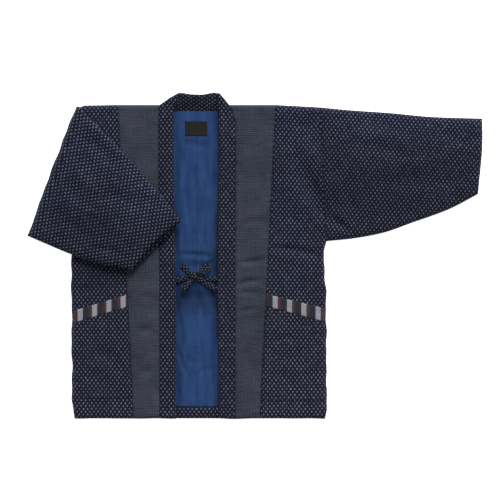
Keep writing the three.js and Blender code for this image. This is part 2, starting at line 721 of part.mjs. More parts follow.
// A flat ribbon with a rounded section, swept along points with the ribbon's width lying level.
function addRibbon(name, path, sides) {
  const profile = [
    { s: -0.5, n: -0.2 },
    { s: -0.42, n: -0.5 },
    { s: 0.42, n: -0.5 },
    { s: 0.5, n: -0.2 },
    { s: 0.5, n: 0.2 },
    { s: 0.42, n: 0.5 },
    { s: -0.42, n: 0.5 },
    { s: -0.5, n: 0.2 },
  ];
  const points = [];
  const faces = [];
  const count = profile.length;
  path.forEach((centre, i) => {
    const ahead = path[Math.min(i + 1, path.length - 1)];
    const behind = path[Math.max(i - 1, 0)];
    const tangent = ahead.clone().sub(behind).normalize();
    const normal = new THREE.Vector3().crossVectors(tangent, sides[i]).normalize();
    for (const { s, n } of profile) {
      points.push(centre.clone().addScaledVector(sides[i], s * TIE_WIDTH).addScaledVector(normal, n * TIE_THICKNESS));
    }
  });
  for (let i = 0; i < path.length - 1; i++) {
    for (let j = 0; j < count; j++) {
      const a = i * count + j;
      const b = i * count + ((j + 1) % count);
      faces.push([a, b, b + count], [a, b + count, a + count]);
    }
  }
  const end = (path.length - 1) * count;
  for (let j = 1; j < count - 1; j++) faces.push([0, j + 1, j], [end, end + j, end + j + 1]);
  add(name, points, faces, DOTTED_COTTON);
}

function knotEdge(angle) {
  const clear = 1 + GAP / KNOT.radiusY;
  return [KNOT.x + Math.cos(angle) * KNOT.radiusX * clear, KNOT.y + Math.sin(angle) * KNOT.radiusY * clear];
}

function buildTies() {
  const knot = new THREE.SphereGeometry(1, 14, 10);
  knot.scale(KNOT.radiusX, KNOT.radiusZ, KNOT.radiusY);
  knot.rotateX(Math.PI / 2);
  knot.translate(KNOT.x, KNOT.y, KNOT.z);
  const knotMesh = new THREE.Mesh(knot, DOTTED_COTTON);
  knotMesh.name = "tie_knot";
  jacket.add(knotMesh);
  for (const tie of TIES) {
    const angle = Math.atan2(tie.toY - KNOT.y, tie.toX - KNOT.x);
    const [fromX, fromY] = knotEdge(angle);
    const side = new THREE.Vector3(-Math.sin(angle), Math.cos(angle), 0);
    const steps = [0, 0.2, 0.4, 0.6, 0.8, 1];
    const path = steps.map((s) => {
      const ease = s * s * (3 - 2 * s);
      const x = THREE.MathUtils.lerp(fromX, tie.toX, s);
      const y = THREE.MathUtils.lerp(fromY, tie.toY, s);
      return new THREE.Vector3(x, y, THREE.MathUtils.lerp(tie.fromZ, tie.toZ, ease));
    });
    addRibbon(tie.name, path, path.map(() => side));
  }
  for (const loop of LOOPS) {
    const path = [];
    const sides = [];
    const turn = LOOP_RISE / 2;
    for (let k = 0; k <= 14; k++) {
      const goingOut = k <= 4;
      const comingBack = k >= 10;
      const t = THREE.MathUtils.clamp((k - 4) / 6, 0, 1);
      const degrees = THREE.MathUtils.lerp(loop.lowAngle, loop.highAngle, t);
      const angle = THREE.MathUtils.degToRad(degrees);
      const [fromX, fromY] = knotEdge(angle);
      const start = Math.hypot(fromX - KNOT.x, fromY - KNOT.y);
      let reach = loop.length - turn;
      if (goingOut) reach = THREE.MathUtils.lerp(start, reach, k / 4);
      if (comingBack) reach = THREE.MathUtils.lerp(reach, start, (k - 10) / 4);
      const bend = Math.PI * (t - 0.5);
      const out = goingOut || comingBack ? 0 : turn * Math.cos(bend);
      const x = KNOT.x + Math.cos(angle) * (reach + out);
      const y = KNOT.y + Math.sin(angle) * (reach + out);
      path.push(new THREE.Vector3(x, y, ARM_HEIGHT + turn * (1 + Math.sin(bend))));
      sides.push(new THREE.Vector3(-Math.sin(angle), Math.cos(angle), 0));
    }
    addRibbon(loop.name, path, sides);
  }
}

function buildLabel() {
  const rows = [LABEL.top, LABEL.bottom].map((y) =>
    Array.from({ length: LABEL.columns + 1 }, (_, i) => {
      const x = THREE.MathUtils.lerp(LABEL.left, LABEL.right, i / LABEL.columns);
      return new THREE.Vector3(x, y, LINING_TOP + openingBulge(x));
    }),
  );
  addSheet("label", layerOn(rows, LABEL_THICKNESS), LABEL_SATIN);
}

for (const [side, sign] of [["left", -1], ["right", 1]]) {
  buildBack(side, sign);
  buildCollarBand(side);
  buildStrip(side, sign);
  buildSideFront(side, sign);
}
buildNape();
buildLaidSleeve();
buildFoldedSleeve();
buildTies();
buildLabel();

const extent = new THREE.Box3().setFromObject(jacket);
const middle = extent.getCenter(new THREE.Vector3());
jacket.position.set(-middle.x, -middle.y, -extent.min.z);

export default jacket;
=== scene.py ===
"""Dresses a wadded kimono jacket that lies flat on its back, with one sleeve folded across the front.

Shapes are worked out in the tailor's plan, in millimetres: x is 0 at the centre back, y is 0 at the shoulder
line and falls towards the hem, and z rises from the surface the jacket lies on. One function moves a finished
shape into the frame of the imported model, in metres.
"""

import logging
import math
from dataclasses import dataclass
from enum import Enum

import bpy
import numpy as np
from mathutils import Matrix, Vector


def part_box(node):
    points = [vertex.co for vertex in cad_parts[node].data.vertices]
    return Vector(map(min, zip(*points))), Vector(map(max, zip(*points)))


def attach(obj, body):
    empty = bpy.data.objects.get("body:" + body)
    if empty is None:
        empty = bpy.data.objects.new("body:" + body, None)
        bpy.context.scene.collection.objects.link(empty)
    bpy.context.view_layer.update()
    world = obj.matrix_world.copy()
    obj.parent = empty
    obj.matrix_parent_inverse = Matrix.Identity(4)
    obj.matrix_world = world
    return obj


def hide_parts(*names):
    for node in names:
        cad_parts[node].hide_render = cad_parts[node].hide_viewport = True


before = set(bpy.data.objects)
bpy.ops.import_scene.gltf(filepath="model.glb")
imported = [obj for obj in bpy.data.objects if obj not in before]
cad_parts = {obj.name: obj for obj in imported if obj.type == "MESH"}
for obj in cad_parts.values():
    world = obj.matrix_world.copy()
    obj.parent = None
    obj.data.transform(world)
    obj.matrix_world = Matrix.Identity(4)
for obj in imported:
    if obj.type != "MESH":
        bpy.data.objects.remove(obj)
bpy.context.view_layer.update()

log = logging.getLogger("jacket")

MM = 0.001
BODY = "root"

# Clearance between two pieces that lie on each other or meet at a seam.
GAP = 0.3
# Two panels that are sewn together show no gap, so the dressed ones come closer than the solids.
SEAM_GAP = 0.04
# A patch that is sewn on a panel lies closer than the solids' gap.
PATCH_GAP = 0.4 * GAP

# Layers, from the surface up.
BACK_THICKNESS = 9.0
LINING_THICKNESS = 1.0
FRONT_THICKNESS = 10.0
COLLAR_THICKNESS = 11.0
POCKET_THICKNESS = 1.8
WELT_THICKNESS = 2.2
LINING_TOP = BACK_THICKNESS + GAP + LINING_THICKNESS
FRONT_BOTTOM = LINING_TOP + GAP

# Body, collar and neck.
BODY_LENGTH = 782.0
HEM_FACING = 29.0
NECK_DROP = 14.0
NECK_HALF_WIDTH = 80.0
OPENING_HALF_WIDTH = 51.5
COLLAR_WIDTH = 43.5
COLLAR_OUTER = OPENING_HALF_WIDTH + COLLAR_WIDTH
STRIP_EDGE_AT_SHOULDER = 197.0
STRIP_EDGE_AT_HEM = 158.0
OPENING_BULGE = 2.5
ARMHOLE_DEPTH = 337.0
# The slit between the two inner walls of a sleeve, and how far it stays in from the sleeve's edges.
SLIT = 0.6
SLIT_INSET = 10.0
SHOULDER_SLOPE = 0.06
SHOULDER_SLOPE_LEFT = 0.02
SLOPE_START = 208.0

# The least share of its thickness that a padded panel keeps at its rim.
THINNEST = 0.12

Array = np.ndarray
Socket = bpy.types.NodeSocket
Line = tuple[tuple[float, float], ...]
Distances = dict[str, Array]


class Side(Enum):
    """The two halves of the jacket, as they are seen from above."""

    LEFT = -1
    RIGHT = 1

    @property
    def word(self) -> str:
        """The half's name in the names of nodes."""
        return self.name.lower()


# The y and x of the side edge of each half: the armhole, and below it the side seam.
SIDE_EDGE: dict[Side, list[tuple[float, float]]] = {
    Side.LEFT: [
        (20, -283), (0, -283), (-337, -314), (-484, -313), (-733, -311.5), (-748, -308.5), (-768, -307.5),
        (-782, -304.5),
    ],
    Side.RIGHT: [
        (20, 308), (0, 308), (-337, 324), (-361, 317.5), (-400, 320), (-484, 324), (-762, 325.5),
        (-782, 321.5),
    ],
}

# Each row across a collar band: inner x and y, outer x and y.
COLLAR_ROWS: dict[Side, list[tuple[float, float, float, float]]] = {
    Side.LEFT: [
        (-51.8, -782, -92.4, -782),
        (-51.8, -450, -92.4, -450),
        (-56, -210, -94.5, -200),
        (-57.5, -60, -95.3, -45),
        (-56, -13, -94, 0),
        (-47, 14, -68.5, 18.5),
        (-38.5, 33, -46, 31),
    ],
    Side.RIGHT: [
        (56.5, -782, 96, -782),
        (55, -640, 96, -640),
        (51.8, -480, 96, -480),
        (52, -360, 96.3, -360),
        (54, -240, 96.6, -240),
        (55.8, -130, 97, -130),
        (54.2, -60, 97, -45),
        (54, -13, 83, 0),
        (52, 12, 69, 17.5),
        (50, 33, 58, 30),
    ],
}

# The nape part of the collar: low x and y, high x and y of each section.
NAPE_SECTIONS = [
    (-76, -13.7, -44, 31.5), (-54, -13.7, -32, 31), (-20, -13.7, -14, 28), (16, -13.7, 14, 27),
    (50, -13.7, 43, 32.5), (74, -13.7, 56, 28.5),
]


@dataclass(frozen=True)
class PocketPlace:
    """Heights of a pocket at the strip seam (inner) and at the side, in millimetres of the plan."""

    welt_inner_top: float
    welt_side_top: float
    welt_inner_low: float
    welt_side_low: float
    bottom: float


POCKET_PLACE = {
    Side.LEFT: PocketPlace(-473, -513, -503, -543, -730),
    Side.RIGHT: PocketPlace(-471, -507, -501, -540, -736),
}


def plan_origin() -> Array:
    """Finds where the plan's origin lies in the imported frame, from two nodes.

    Returns:
        The x and y of the centre back at the shoulder line, in metres.
    """
    low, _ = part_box("back_right")
    _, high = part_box("back_left")
    return np.array([low.x - 0.5 * GAP * MM, high.y, 0.0])


PLAN_ORIGIN = plan_origin()


def linear(colour: str) -> tuple[float, float, float, float]:
    """Turns an sRGB hex colour into linear light.

    Args:
        colour: six hex digits after a hash sign.

    Returns:
        Red, green, blue and an alpha of 1.
    """
    parts = [int(colour[i : i + 2], 16) / 255 for i in (1, 3, 5)]
    red, green, blue = (c / 12.92 if c <= 0.04045 else ((c + 0.055) / 1.055) ** 2.4 for c in parts)
    return red, green, blue, 1.0


def xy(plan: Array) -> tuple[Array, Array]:
    """The x and the y of points."""
    return plan[..., 0], plan[..., 1]


def smoothstep(low: float, high: float, x: Array) -> Array:
    """Rises from 0 at low to 1 at high as 3t^2 - 2t^3, or falls where high is below low."""
    t = np.clip((x - low) / (high - low), 0.0, 1.0)
    return t * t * (3.0 - 2.0 * t)


def crown(distance: Array, reach: float) -> Array:
    """Rises as a quarter circle from 0 at an edge to 1 at reach: sqrt(1 - (1 - d / reach)^2)."""
    t = np.clip(1.0 - distance / reach, 0.0, 1.0)
    return np.sqrt(1.0 - t * t)


def waves(x: Array, y: Array, length: float, seed: int, count: int = 8) -> Array:
    """Sums sine waves of about one length that run in many directions, to about unit height.

    The sum is sqrt(2 / count) * sum(sin(k (x cos a + y sin a) + p)), with k, a and p from a seeded generator.

    Args:
        x: first coordinates in millimetres.
        y: second coordinates in millimetres.
        length: the mean wave length in millimetres.
        seed: picks the directions and phases.
        count: how many waves are summed.

    Returns:
        The height at each point.
    """
    draw = np.random.default_rng(seed)
    total = np.zeros(np.broadcast(x, y).shape)
    for angle, phase, stretch in zip(
        draw.uniform(0, math.tau, count), draw.uniform(0, math.tau, count), draw.uniform(0.65, 1.5, count)
    ):
        k = math.tau / (length * stretch)
        total += np.sin(k * (x * math.cos(angle) + y * math.sin(angle)) + phase)
    return total * math.sqrt(2.0 / count)


@dataclass(frozen=True)
class Fold:
    """A trough in the cloth with soft ridges on both sides, or a ridge where its depth is negative.

    Its height is depth * taper * (lip * ridges - exp(-(off / width)^2)), where off is the distance from a
    centre line that is bent by the given amount, and taper is sin(pi t)^0.7 along it.
    """

    x0: float
    y0: float
    x1: float
    y1: float
    depth: float
    width: float
    bend: float = 0.0
    lip: float = 0.3

    def height(self, plan: Array) -> Array:
        """The fold's height.

        Args:
            plan: x and y of each point in millimetres.

        Returns:
            The height at each point.
        """
        x, y = xy(plan)
        along_x, along_y = self.x1 - self.x0, self.y1 - self.y0
        length = math.hypot(along_x, along_y)
        t = ((x - self.x0) * along_x + (y - self.y0) * along_y) / length**2
        across = ((y - self.y0) * along_x - (x - self.x0) * along_y) / length
        inside = np.clip(t, 0.0, 1.0)
        off = across - self.bend * 4.0 * inside * (1.0 - inside)
        taper = np.sin(math.pi * inside) ** 0.7
        trough = np.exp(-((off / self.width) ** 2))
        ridges = np.exp(-(((np.abs(off) - 2.1 * self.width) / (1.2 * self.width)) ** 2))
        return self.depth * taper * (self.lip * ridges - trough)


def rows_of(kind: type, *rows: tuple[float, ...]) -> list:
    """Makes a thing of a kind for each row of a table, whose columns are the kind's fields in order."""
    return [kind(*row) for row in rows]


# Folds in the cloth that faces up: those at the right armhole and under it, across the right front and strip,
# on the laid-out sleeve, and on the left half below the folded sleeve.
FRONT_FOLDS = rows_of(
    Fold,
    (250, -118, 343, -312, 4.9, 18, -7, 0.4), (222, -178, 300, -304, -3.2, 26, -6),
    (236, -60, 322, -150, -2.2, 15, -7), (258, -250, 318, -330, 1.8, 9, -5),
    (222, -272, 296, -336, 1.5, 8, 6), (182, -357, 312, -378, 2.9, 8.5, 7),
    (214, -398, 306, -404, 0.9, 9, -5), (102, -392, 178, -382, 2.6, 6, -3),
    (100, -448, 168, -438, 2.6, 6.5, 4), (104, -466, 160, -470, 1.5, 5), (104, -513, 160, -508, 1.7, 6),
    (102, -300, 180, -288, 1.2, 8, 4), (178, -592, 252, -580, 2.0, 9, 4),
    (200, -650, 282, -668, -1.3, 13), (388, -226, 382, -322, 2.8, 9, 6),
    (330, -278, 384, -322, 3.4, 8, 5), (334, -200, 352, -268, 2.2, 9), (334, -60, 530, -96, -2.2, 18, 6),
    (452, -196, 640, -150, 2.4, 17, -8), (420, -110, 560, -128, 1.6, 14, 5),
    (520, -210, 676, -178, 1.5, 11), (600, -70, 700, -92, 1.6, 12, -4),
    (-262, -616, -196, -642, 2.2, 16, 5), (-290, -664, -220, -700, 1.4, 14),
    (-152, -566, -104, -556, 1.8, 9), (-140, -474, -100, -482, 1.5, 8), (-150, -668, -104, -660, 1.5, 9),
    (-296, -470, -222, -456, 1.6, 10, 4), (112, -180, 190, -150, 1.3, 18),
    (118, -610, 150, -700, 1.3, 13), (236, -424, 306, -446, 1.4, 12),
)

LINING_FOLDS = rows_of(
    Fold,
    (-54, -372, 54, -381, 1.8, 6, 3, 0.5), (-54, -404, 54, -412, 1.4, 9, 5, 0.2),
    (10, -404, 50, -386, 2.0, 6), (-44, -470, 46, -474, 1.6, 12, -6, 0.25),
    (-8, -446, -46, -500, -1.6, 7), (8, -446, 30, -520, -1.4, 8), (-34, -96, -22, -330, 1.2, 10, 6),
    (24, -110, 33, -350, 1.2, 10, -5), (-12, -180, -4, -352, 0.8, 12, 5),
    (-43, -520, -38, -640, 3.0, 7, 4), (-50, -596, -24, -676, 2.6, 5, -2),
    (18, -500, 24, -745, 2.4, 8, -5), (2, -520, 6, -720, -1.6, 11), (38, -520, 40, -690, 2.0, 7, 3),
    (-24, -620, -20, -736, 1.8, 8, 3), (-46, -626, 4, -644, 0.5, 7), (2, -668, 46, -654, 0.8, 7),
    (-42, -92, 34, -104, 1.3, 8),
)

# Folds on the sleeve that lies across the front, in the same plan.
FOLDED_SLEEVE_FOLDS = rows_of(
    Fold,
    (-292, -36, -164, -128, -2.8, 13, 7), (-300, -70, -178, -176, 2.4, 12, 8),
    (-352, -180, -236, -262, 2.2, 15, -8), (-386, -262, -262, -340, 2.0, 14, 7),
    (-330, -214, -160, -250, 1.8, 18, 6), (-236, -200, -110, -262, 1.6, 17, -7),
    (-268, -348, -180, -366, 2.2, 9, -5), (-214, -306, -138, -330, -1.6, 13),
    (-150, -236, -76, -268, 1.6, 12, 5), (-320, -110, -282, -190, -1.4, 15),
    (-200, -130, -120, -196, 1.6, 13, 5),
)


# How much deeper the tabled folds are drawn on wadded cloth, and the deepest that a trough may go.
FOLD_GAIN = 1.35
DEEPEST = -7.2


def relief(plan: Array, folds: list[Fold]) -> Array:
    """Adds folds to the slow rise and fall of the wadding, a sin(x / 53) sin(y / 77), and two kinds of waves.

    Args:
        plan: x and y of each point in millimetres.
        folds: the folds in the cloth there.

    Returns:
        The height at each point.
    """
    x, y = xy(plan)
    height = 1.1 * np.sin(x / 53 + 1.1) * np.sin(y / 77 + 0.6)
    height = height + 0.5 * waves(x, y, 84, seed=3)
    height = height + 0.12 * waves(x, y, 31, seed=4)
    for fold in folds:
        height = height + FOLD_GAIN * fold.height(plan)
    return np.maximum(height, DEEPEST)


def covered(plan: Array) -> Array:
    """1 where the folded sleeve lies on the left half and presses it flat, and 0 elsewhere."""
    return smoothstep(-446, -404, plan[..., 1]) * (plan[..., 0] < 0)


def pucker(distance: Array, along: Array, height: float, seed: int, spread: float = 11.0) -> Array:
    """Small waves that a sewn seam draws into the cloth beside it.

    The height is h * exp(-d / spread) * w(along), where w is a sum of waves about 17 mm long.

    Args:
        distance: distance from the seam in millimetres.
        along: place along the seam in millimetres.
        height: the waves' height at the seam.
        seed: picks the waves, the same on both sides of a seam.
        spread: how far from the seam the waves die away.

    Returns:
        The height at each point.
    """
    short = waves(along, np.zeros_like(along), 17, seed=seed, count=6)
    return height * np.exp(-distance / spread) * short


@dataclass(frozen=True)
class Rounding:
    """How a padded edge rounds off: how far in it starts and the share of the thickness that it takes."""

    reach: float
    share: float

    def left(self, distance: Array) -> Array:
        """The share that is left at a distance from the edge: 1 - share (1 - crown(distance, reach))."""
        return 1.0 - self.share * (1.0 - crown(distance, self.reach))


FREE_EDGE = Rounding(12.0, 0.85)
SEAM_EDGE = Rounding(8.0, 0.3)
HEM_EDGE = Rounding(10.0, 0.7)


def spaced(length: float, cell: float, fine: float, reach: float) -> Array:
    """Stations from 0 to length, spaced by cell in the middle and by fine at both ends.

    A short length has stations at t - c sin(2 pi t) / (2 pi), with t even and c = 1 - fine. A longer one has
    even stations between two ends, where they follow t^1.35 from the edge.

    Args:
        length: the whole length in millimetres.
        cell: the mean spacing in the middle.
        fine: the spacing at the ends as a share of cell.
        reach: the length at each end that is spaced more closely.

    Returns:
        The stations, rising.
    """
    if length <= 4 * reach:
        t = np.linspace(0, 1, max(8, int(length / (cell * 0.7))) + 1)
        squeeze = 1.0 - fine
        return length * (t - squeeze * np.sin(math.tau * t) / math.tau)
    edge = np.linspace(0, 1, max(3, int(reach / (cell * fine))) + 1) ** 1.35 * reach
    middle = np.linspace(reach, length - reach, max(2, int((length - 2 * reach) / cell)) + 1)
    return np.concatenate([edge[:-1], middle, (length - edge[::-1])[1:]])


def spaced_shares(length: float, cell: float, fine: float, reach: float) -> Array:
    """The stations of spaced as shares of the length, from 0 to 1."""
    return spaced(length, cell, fine, reach) / length


def run_along(points: Array) -> Array:
    """The way along a line of points, from the first one to each of them."""
    return np.concatenate([[0], np.cumsum(np.linalg.norm(np.diff(points, axis=0), axis=1))])


def between_rows(at: Array, knots: Array, table: Array) -> Array:
    """Each column of a table at given places, on straight lines between the knots of its rows."""
    return np.column_stack([np.interp(at, knots, column) for column in table.T])


def edge_distances(plan: Array) -> Distances:
    """The distances of a plan grid's points from its edges.

    Args:
        plan: rows by columns by x and y.

    Returns:
        The distances along the rows from the first and the last column, and along the columns from the start
        and the end.
    """
    across = np.linalg.norm(np.diff(plan, axis=1), axis=2)
    along = np.linalg.norm(np.diff(plan, axis=0), axis=2)
    first = np.pad(np.cumsum(across, axis=1), ((0, 0), (1, 0)))
    start = np.pad(np.cumsum(along, axis=0), ((1, 0), (0, 0)))
    return {"first": first, "last": first[:, -1:] - first, "start": start, "end": start[-1:] - start}


def to_frame(points: Array) -> Array:
    """Moves points from the plan, in millimetres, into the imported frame, in metres."""
    return points * MM + PLAN_ORIGIN


@dataclass(frozen=True)
class SoftPatch:
    """An oval on the laid jacket where a cloth's tone or tint changes by s exp(-(dx / w)^2 - (dy / h)^2)."""

    x: float
    y: float
    width: float
    height: float
    strength: float

    def amount(self, x: Array, y: Array) -> Array:
        """The change at each place."""
        return self.strength * np.exp(-(((x - self.x) / self.width) ** 2) - ((y - self.y) / self.height) ** 2)


# Painted light and shade on the dotted cloth: darker on the sleeves, the left front and the collar, and in
# the shadow below the folded sleeve, and paler at the right armhole, the shoulders and the hem.
DOTTED_PAINTED_SHADING = rows_of(
    SoftPatch,
    (480, -200, 170, 90, -0.26), (640, -150, 90, 110, -0.1), (342, -200, 44, 80, -0.2),
    (480, -62, 130, 36, 0.08), (-300, -300, 120, 80, -0.22), (-150, -330, 90, 50, -0.12),
    (-330, -170, 80, 110, -0.08), (-110, -235, 60, 45, 0.12), (-215, -130, 70, 50, 0.07),
    (-240, -570, 110, 190, -0.1), (-226, -430, 88, 28, -0.3), (-78, -420, 34, 430, -0.1),
    (-92, -180, 26, 150, -0.1), (78, -420, 34, 430, -0.1), (268, -268, 40, 52, 0.16),
    (240, -60, 90, 50, 0.08), (0, 8, 60, 24, -0.22), (-254, -262, 45, 45, -0.16),
    (-285, -424, 34, 30, -0.14), (-262, -752, 90, 34, 0.16), (238, -752, 90, 36, 0.18),
    (262, -672, 90, 70, 0.1),
)

# Painted light tint: the dotted cloth leans to blue (above 0) where a cool light from above is painted on it,
# mostly on the upper parts, and to grey (below 0) low down.
PAINTED_LIGHT_TINT = rows_of(
    SoftPatch,
    (480, -46, 210, 46, 0.5), (650, -78, 80, 44, 0.3), (222, -44, 44, 40, 0.4),
    (248, -215, 64, 120, 0.5), (236, -430, 50, 30, 0.4), (-138, -238, 66, 52, 1.0),
    (-240, -108, 50, 48, 1.0), (-340, -225, 44, 46, 0.7), (-292, -130, 60, 80, 0.3),
    (-245, -430, 100, 40, 0.3), (-245, -770, 120, 70, -0.35), (262, -690, 110, 150, -0.5),
)

# Painted shade on the lining: darker under the bow, along the edges of the collar bands where their shadows
# fall, and a little down the middle.
LINING_PAINTED_SHADE = rows_of(
    SoftPatch,
    (0, -486, 100, 38, -0.47), (-44, -432, 22, 26, -0.28), (44, -418, 20, 26, -0.28),
    (42, -388, 16, 22, -0.12), (0, -378, 80, 30, -0.2), (0, -290, 60, 90, -0.07),
    (-36, -600, 14, 110, -0.1), (-53, -400, 10, 900, -0.28), (53, -400, 12, 900, -0.38),
)


def sum_of_patches(plan: Array, patches: list[SoftPatch]) -> Array:
    """The sum of the soft patches at each place of the plan."""
    return sum(patch.amount(plan[:, 0], plan[:, 1]) for patch in patches)


def make_object(name: str, points: Array, faces: Array, uv: Array) -> bpy.types.Object:
    """Makes a smooth shaded mesh object that rides on the jacket.

    A quad whose first or last corner is given twice becomes a triangle.

    Args:
        name: the object's name.
        points: vertices in the plan, in millimetres.
        faces: rows of four vertex numbers.
        uv: a place on the cut cloth for each vertex, in metres.

    Returns:
        The linked object.
    """
    last_twice = faces[:, 2] == faces[:, 3]
    first_twice = faces[:, 0] == faces[:, 1]
    quads = faces[~(last_twice | first_twice)]
    triangles = np.vstack([faces[last_twice][:, :3], faces[first_twice][:, 1:]])
    mesh = bpy.data.meshes.new(name)
    mesh.from_pydata(to_frame(points), [], quads.tolist() + triangles.tolist())
    corners = np.empty(len(mesh.loops), dtype=np.int32)
    mesh.loops.foreach_get("vertex_index", corners)
    layer = mesh.uv_layers.new(name="cloth")
    layer.data.foreach_set("uv", uv[corners].astype(np.float32).ravel())
    mesh.shade_smooth()
    mesh.update()
    thing = bpy.data.objects.new(name, mesh)
    bpy.context.scene.collection.objects.link(thing)
    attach(thing, BODY)
    return thing


def grid_faces(rows: int, columns: int, start: int = 0, closed: bool = False) -> Array:
    """Quads of a grid of vertices that is numbered row by row.

    Args:
        rows: rows of vertices.
        columns: vertices in a row.
        start: the number of the first vertex.
        closed: whether the last column joins the first.

    Returns:
        An array of quads, turned so that they face up where rows run up and columns run right.
    """
    i, j = np.meshgrid(np.arange(rows - 1), np.arange(columns if closed else columns - 1), indexing="ij")
    k = (j + 1) % columns
    low, high = i * columns, (i + 1) * columns
    return np.stack([low + j, low + k, high + k, high + j], axis=-1).reshape(-1, 4) + start


def fan_faces(rim: Array, pole: int) -> Array:
    """Triangles from a closed rim of vertices to a pole, each with its last corner given twice."""
    poles = np.full_like(rim, pole)
    return np.stack([np.roll(rim, -1), rim, poles, poles], axis=-1)


def outward(points: Array, faces: Array) -> Array:
    """Turns all faces of a closed shape round where its signed volume, sum(a . (b x c)) / 6, is negative."""
    a, b, c, d = (points[faces[:, k]] for k in range(4))
    volume = (a * (np.cross(b, c) + np.cross(c, d))).sum()
    return faces if volume > 0 else faces[:, ::-1]


def surface_excess(plan: Array, height: Array, axis: int) -> Array:
    """How much longer the way on a surface is than on its plan, from the middle of a grid's row or column.

    The way grows by hypot(dp, dz) - dp at each step, with dp the step in the plan and dz the step in height.

    Args:
        plan: rows by columns by x and y.
        height: the height at each point.
        axis: 1 to go along the rows, 0 to go along the columns.

    Returns:
        The excess at each point, below 0 before the middle.
    """
    flat = np.linalg.norm(np.diff(plan, axis=axis), axis=2)
    step = np.hypot(flat, np.diff(height, axis=axis)) - flat
    before = [(0, 0), (0, 0)]
    before[axis] = (1, 0)
    total = np.pad(np.cumsum(step, axis=axis), before)
    middle = np.take(total, [plan.shape[axis] // 2], axis=axis)
    return total - middle


def grid_direction(plan: Array, axis: int) -> Array:
    """The unit direction in the plan in which a grid runs along its rows (1) or columns (0)."""
    way = np.gradient(plan, axis=axis)
    return way / np.maximum(np.linalg.norm(way, axis=2, keepdims=True), 1e-9)


def cloth_on(plan: Array, height: Array) -> Array:
    """Places on the cloth of a surface over a plan: the plan, let out by the surface's excess both ways."""
    place = np.array(plan, dtype=float)
    for axis in (0, 1):
        place = place + surface_excess(plan, height, axis)[..., None] * grid_direction(plan, axis)
    return place


def slab(name: str, plan: Array, top: Array, bottom: Array, uv: Array | None = None) -> bpy.types.Object:
    """Makes the closed body between two heights over one plan grid.

    Args:
        name: the object's name.
        plan: rows by columns by x and y, in millimetres.
        top: the upper height at each point.
        bottom: the lower height at each point.
        uv: places on the cut cloth in metres, or the plan itself where it is left out.

    Returns:
        The object.
    """
    rows, columns = plan.shape[:2]
    upper = np.dstack([plan, top]).reshape(-1, 3)
    lower = np.dstack([plan, bottom]).reshape(-1, 3)
    points = np.vstack([upper, lower])
    under = rows * columns
    number = np.arange(under).reshape(rows, columns)
    rim = np.concatenate([number[0], number[1:, -1], number[-1, -2::-1], number[-2:0:-1, 0]])
    following = np.roll(rim, -1)
    walls = np.stack([following, rim, rim + under, following + under], axis=-1)
    faces = np.vstack([grid_faces(rows, columns), grid_faces(rows, columns, under)[:, ::-1], walls])
    above = cloth_on(plan, top) * MM if uv is None else uv
    below = np.array(above)
    wall = (top - bottom)[..., None] * MM
    along_rows, down_columns = (wall * grid_direction(plan, axis) for axis in (1, 0))
    below[:, 0] -= along_rows[:, 0]
    below[:, -1] += along_rows[:, -1]
    below[0] -= down_columns[0]
    below[-1] += down_columns[-1]
    cloth = np.vstack([above.reshape(-1, 2), below.reshape(-1, 2)])
    return make_object(name, points, outward(points, faces), cloth)


def ruled_plan(rows_left: Array, rows_right: Array, share: Array) -> Array:
    """A plan grid of straight rows: left + share (right - left) for each row."""
    return rows_left[:, None, :] + share[None, :, None] * (rows_right - rows_left)[:, None, :]


def collar_outer_x(side: Side, y: Array) -> Array:
    """x of a collar band's outer edge at each y, on straight lines between the rows of its table."""
    return np.interp(y, *zip(*sorted((row[3], row[2]) for row in COLLAR_ROWS[side])))


def side_edge_x(side: Side, y: Array) -> Array:
    """x of the armhole and side seam at each y."""
    straight = np.interp(y, *zip(*sorted(SIDE_EDGE[side])))
    free = smoothstep(ARMHOLE_DEPTH, ARMHOLE_DEPTH + 40, -y) * smoothstep(BODY_LENGTH, BODY_LENGTH - 30, -y)
    return straight + free * 0.9 * waves(y, 0 * y, 48, seed=35 + side.value, count=6)


def strip_edge_x(side: Side, y: Array) -> Array:
    """x of the seam between strip and side front: a straight line from the shoulder to the hem."""
    share = -y / BODY_LENGTH
    return side.value * (STRIP_EDGE_AT_SHOULDER + share * (STRIP_EDGE_AT_HEM - STRIP_EDGE_AT_SHOULDER))


def shoulder_line(x: Array) -> Array:
    """y of the shoulder line, which slopes a little beyond the strips, and less on the left."""
    slope = np.where(np.asarray(x) < 0, SHOULDER_SLOPE_LEFT, SHOULDER_SLOPE)
    return -slope * np.maximum(0.0, np.abs(x) - SLOPE_START)


def opening_bulge(x: Array) -> Array:
    """How much higher the wadding stands under the bare lining: b (1 - (x / half width)^2)."""
    return OPENING_BULGE * np.maximum(0.0, 1.0 - (x / OPENING_HALF_WIDTH) ** 2)


def share_of_thickness(distances: Distances, edges: dict[str, Rounding]) -> Array:
    """The product of the shares of the thickness that the roundings of some edges leave.

    Args:
        distances: distances from the edges, from edge_distances.
        edges: the rounding of each edge that has one.

    Returns:
        The share at each point.
    """
    share = np.ones_like(distances["first"])
    for key, edge in edges.items():
        share = share * edge.left(distances[key])
    return np.maximum(share, THINNEST)


def wavy_hem(x: Array) -> Array:
    """The small waves down and up of a hem that lies by itself, in millimetres."""
    return 0.48 * waves(x, 0 * x, 90, seed=31, count=5)


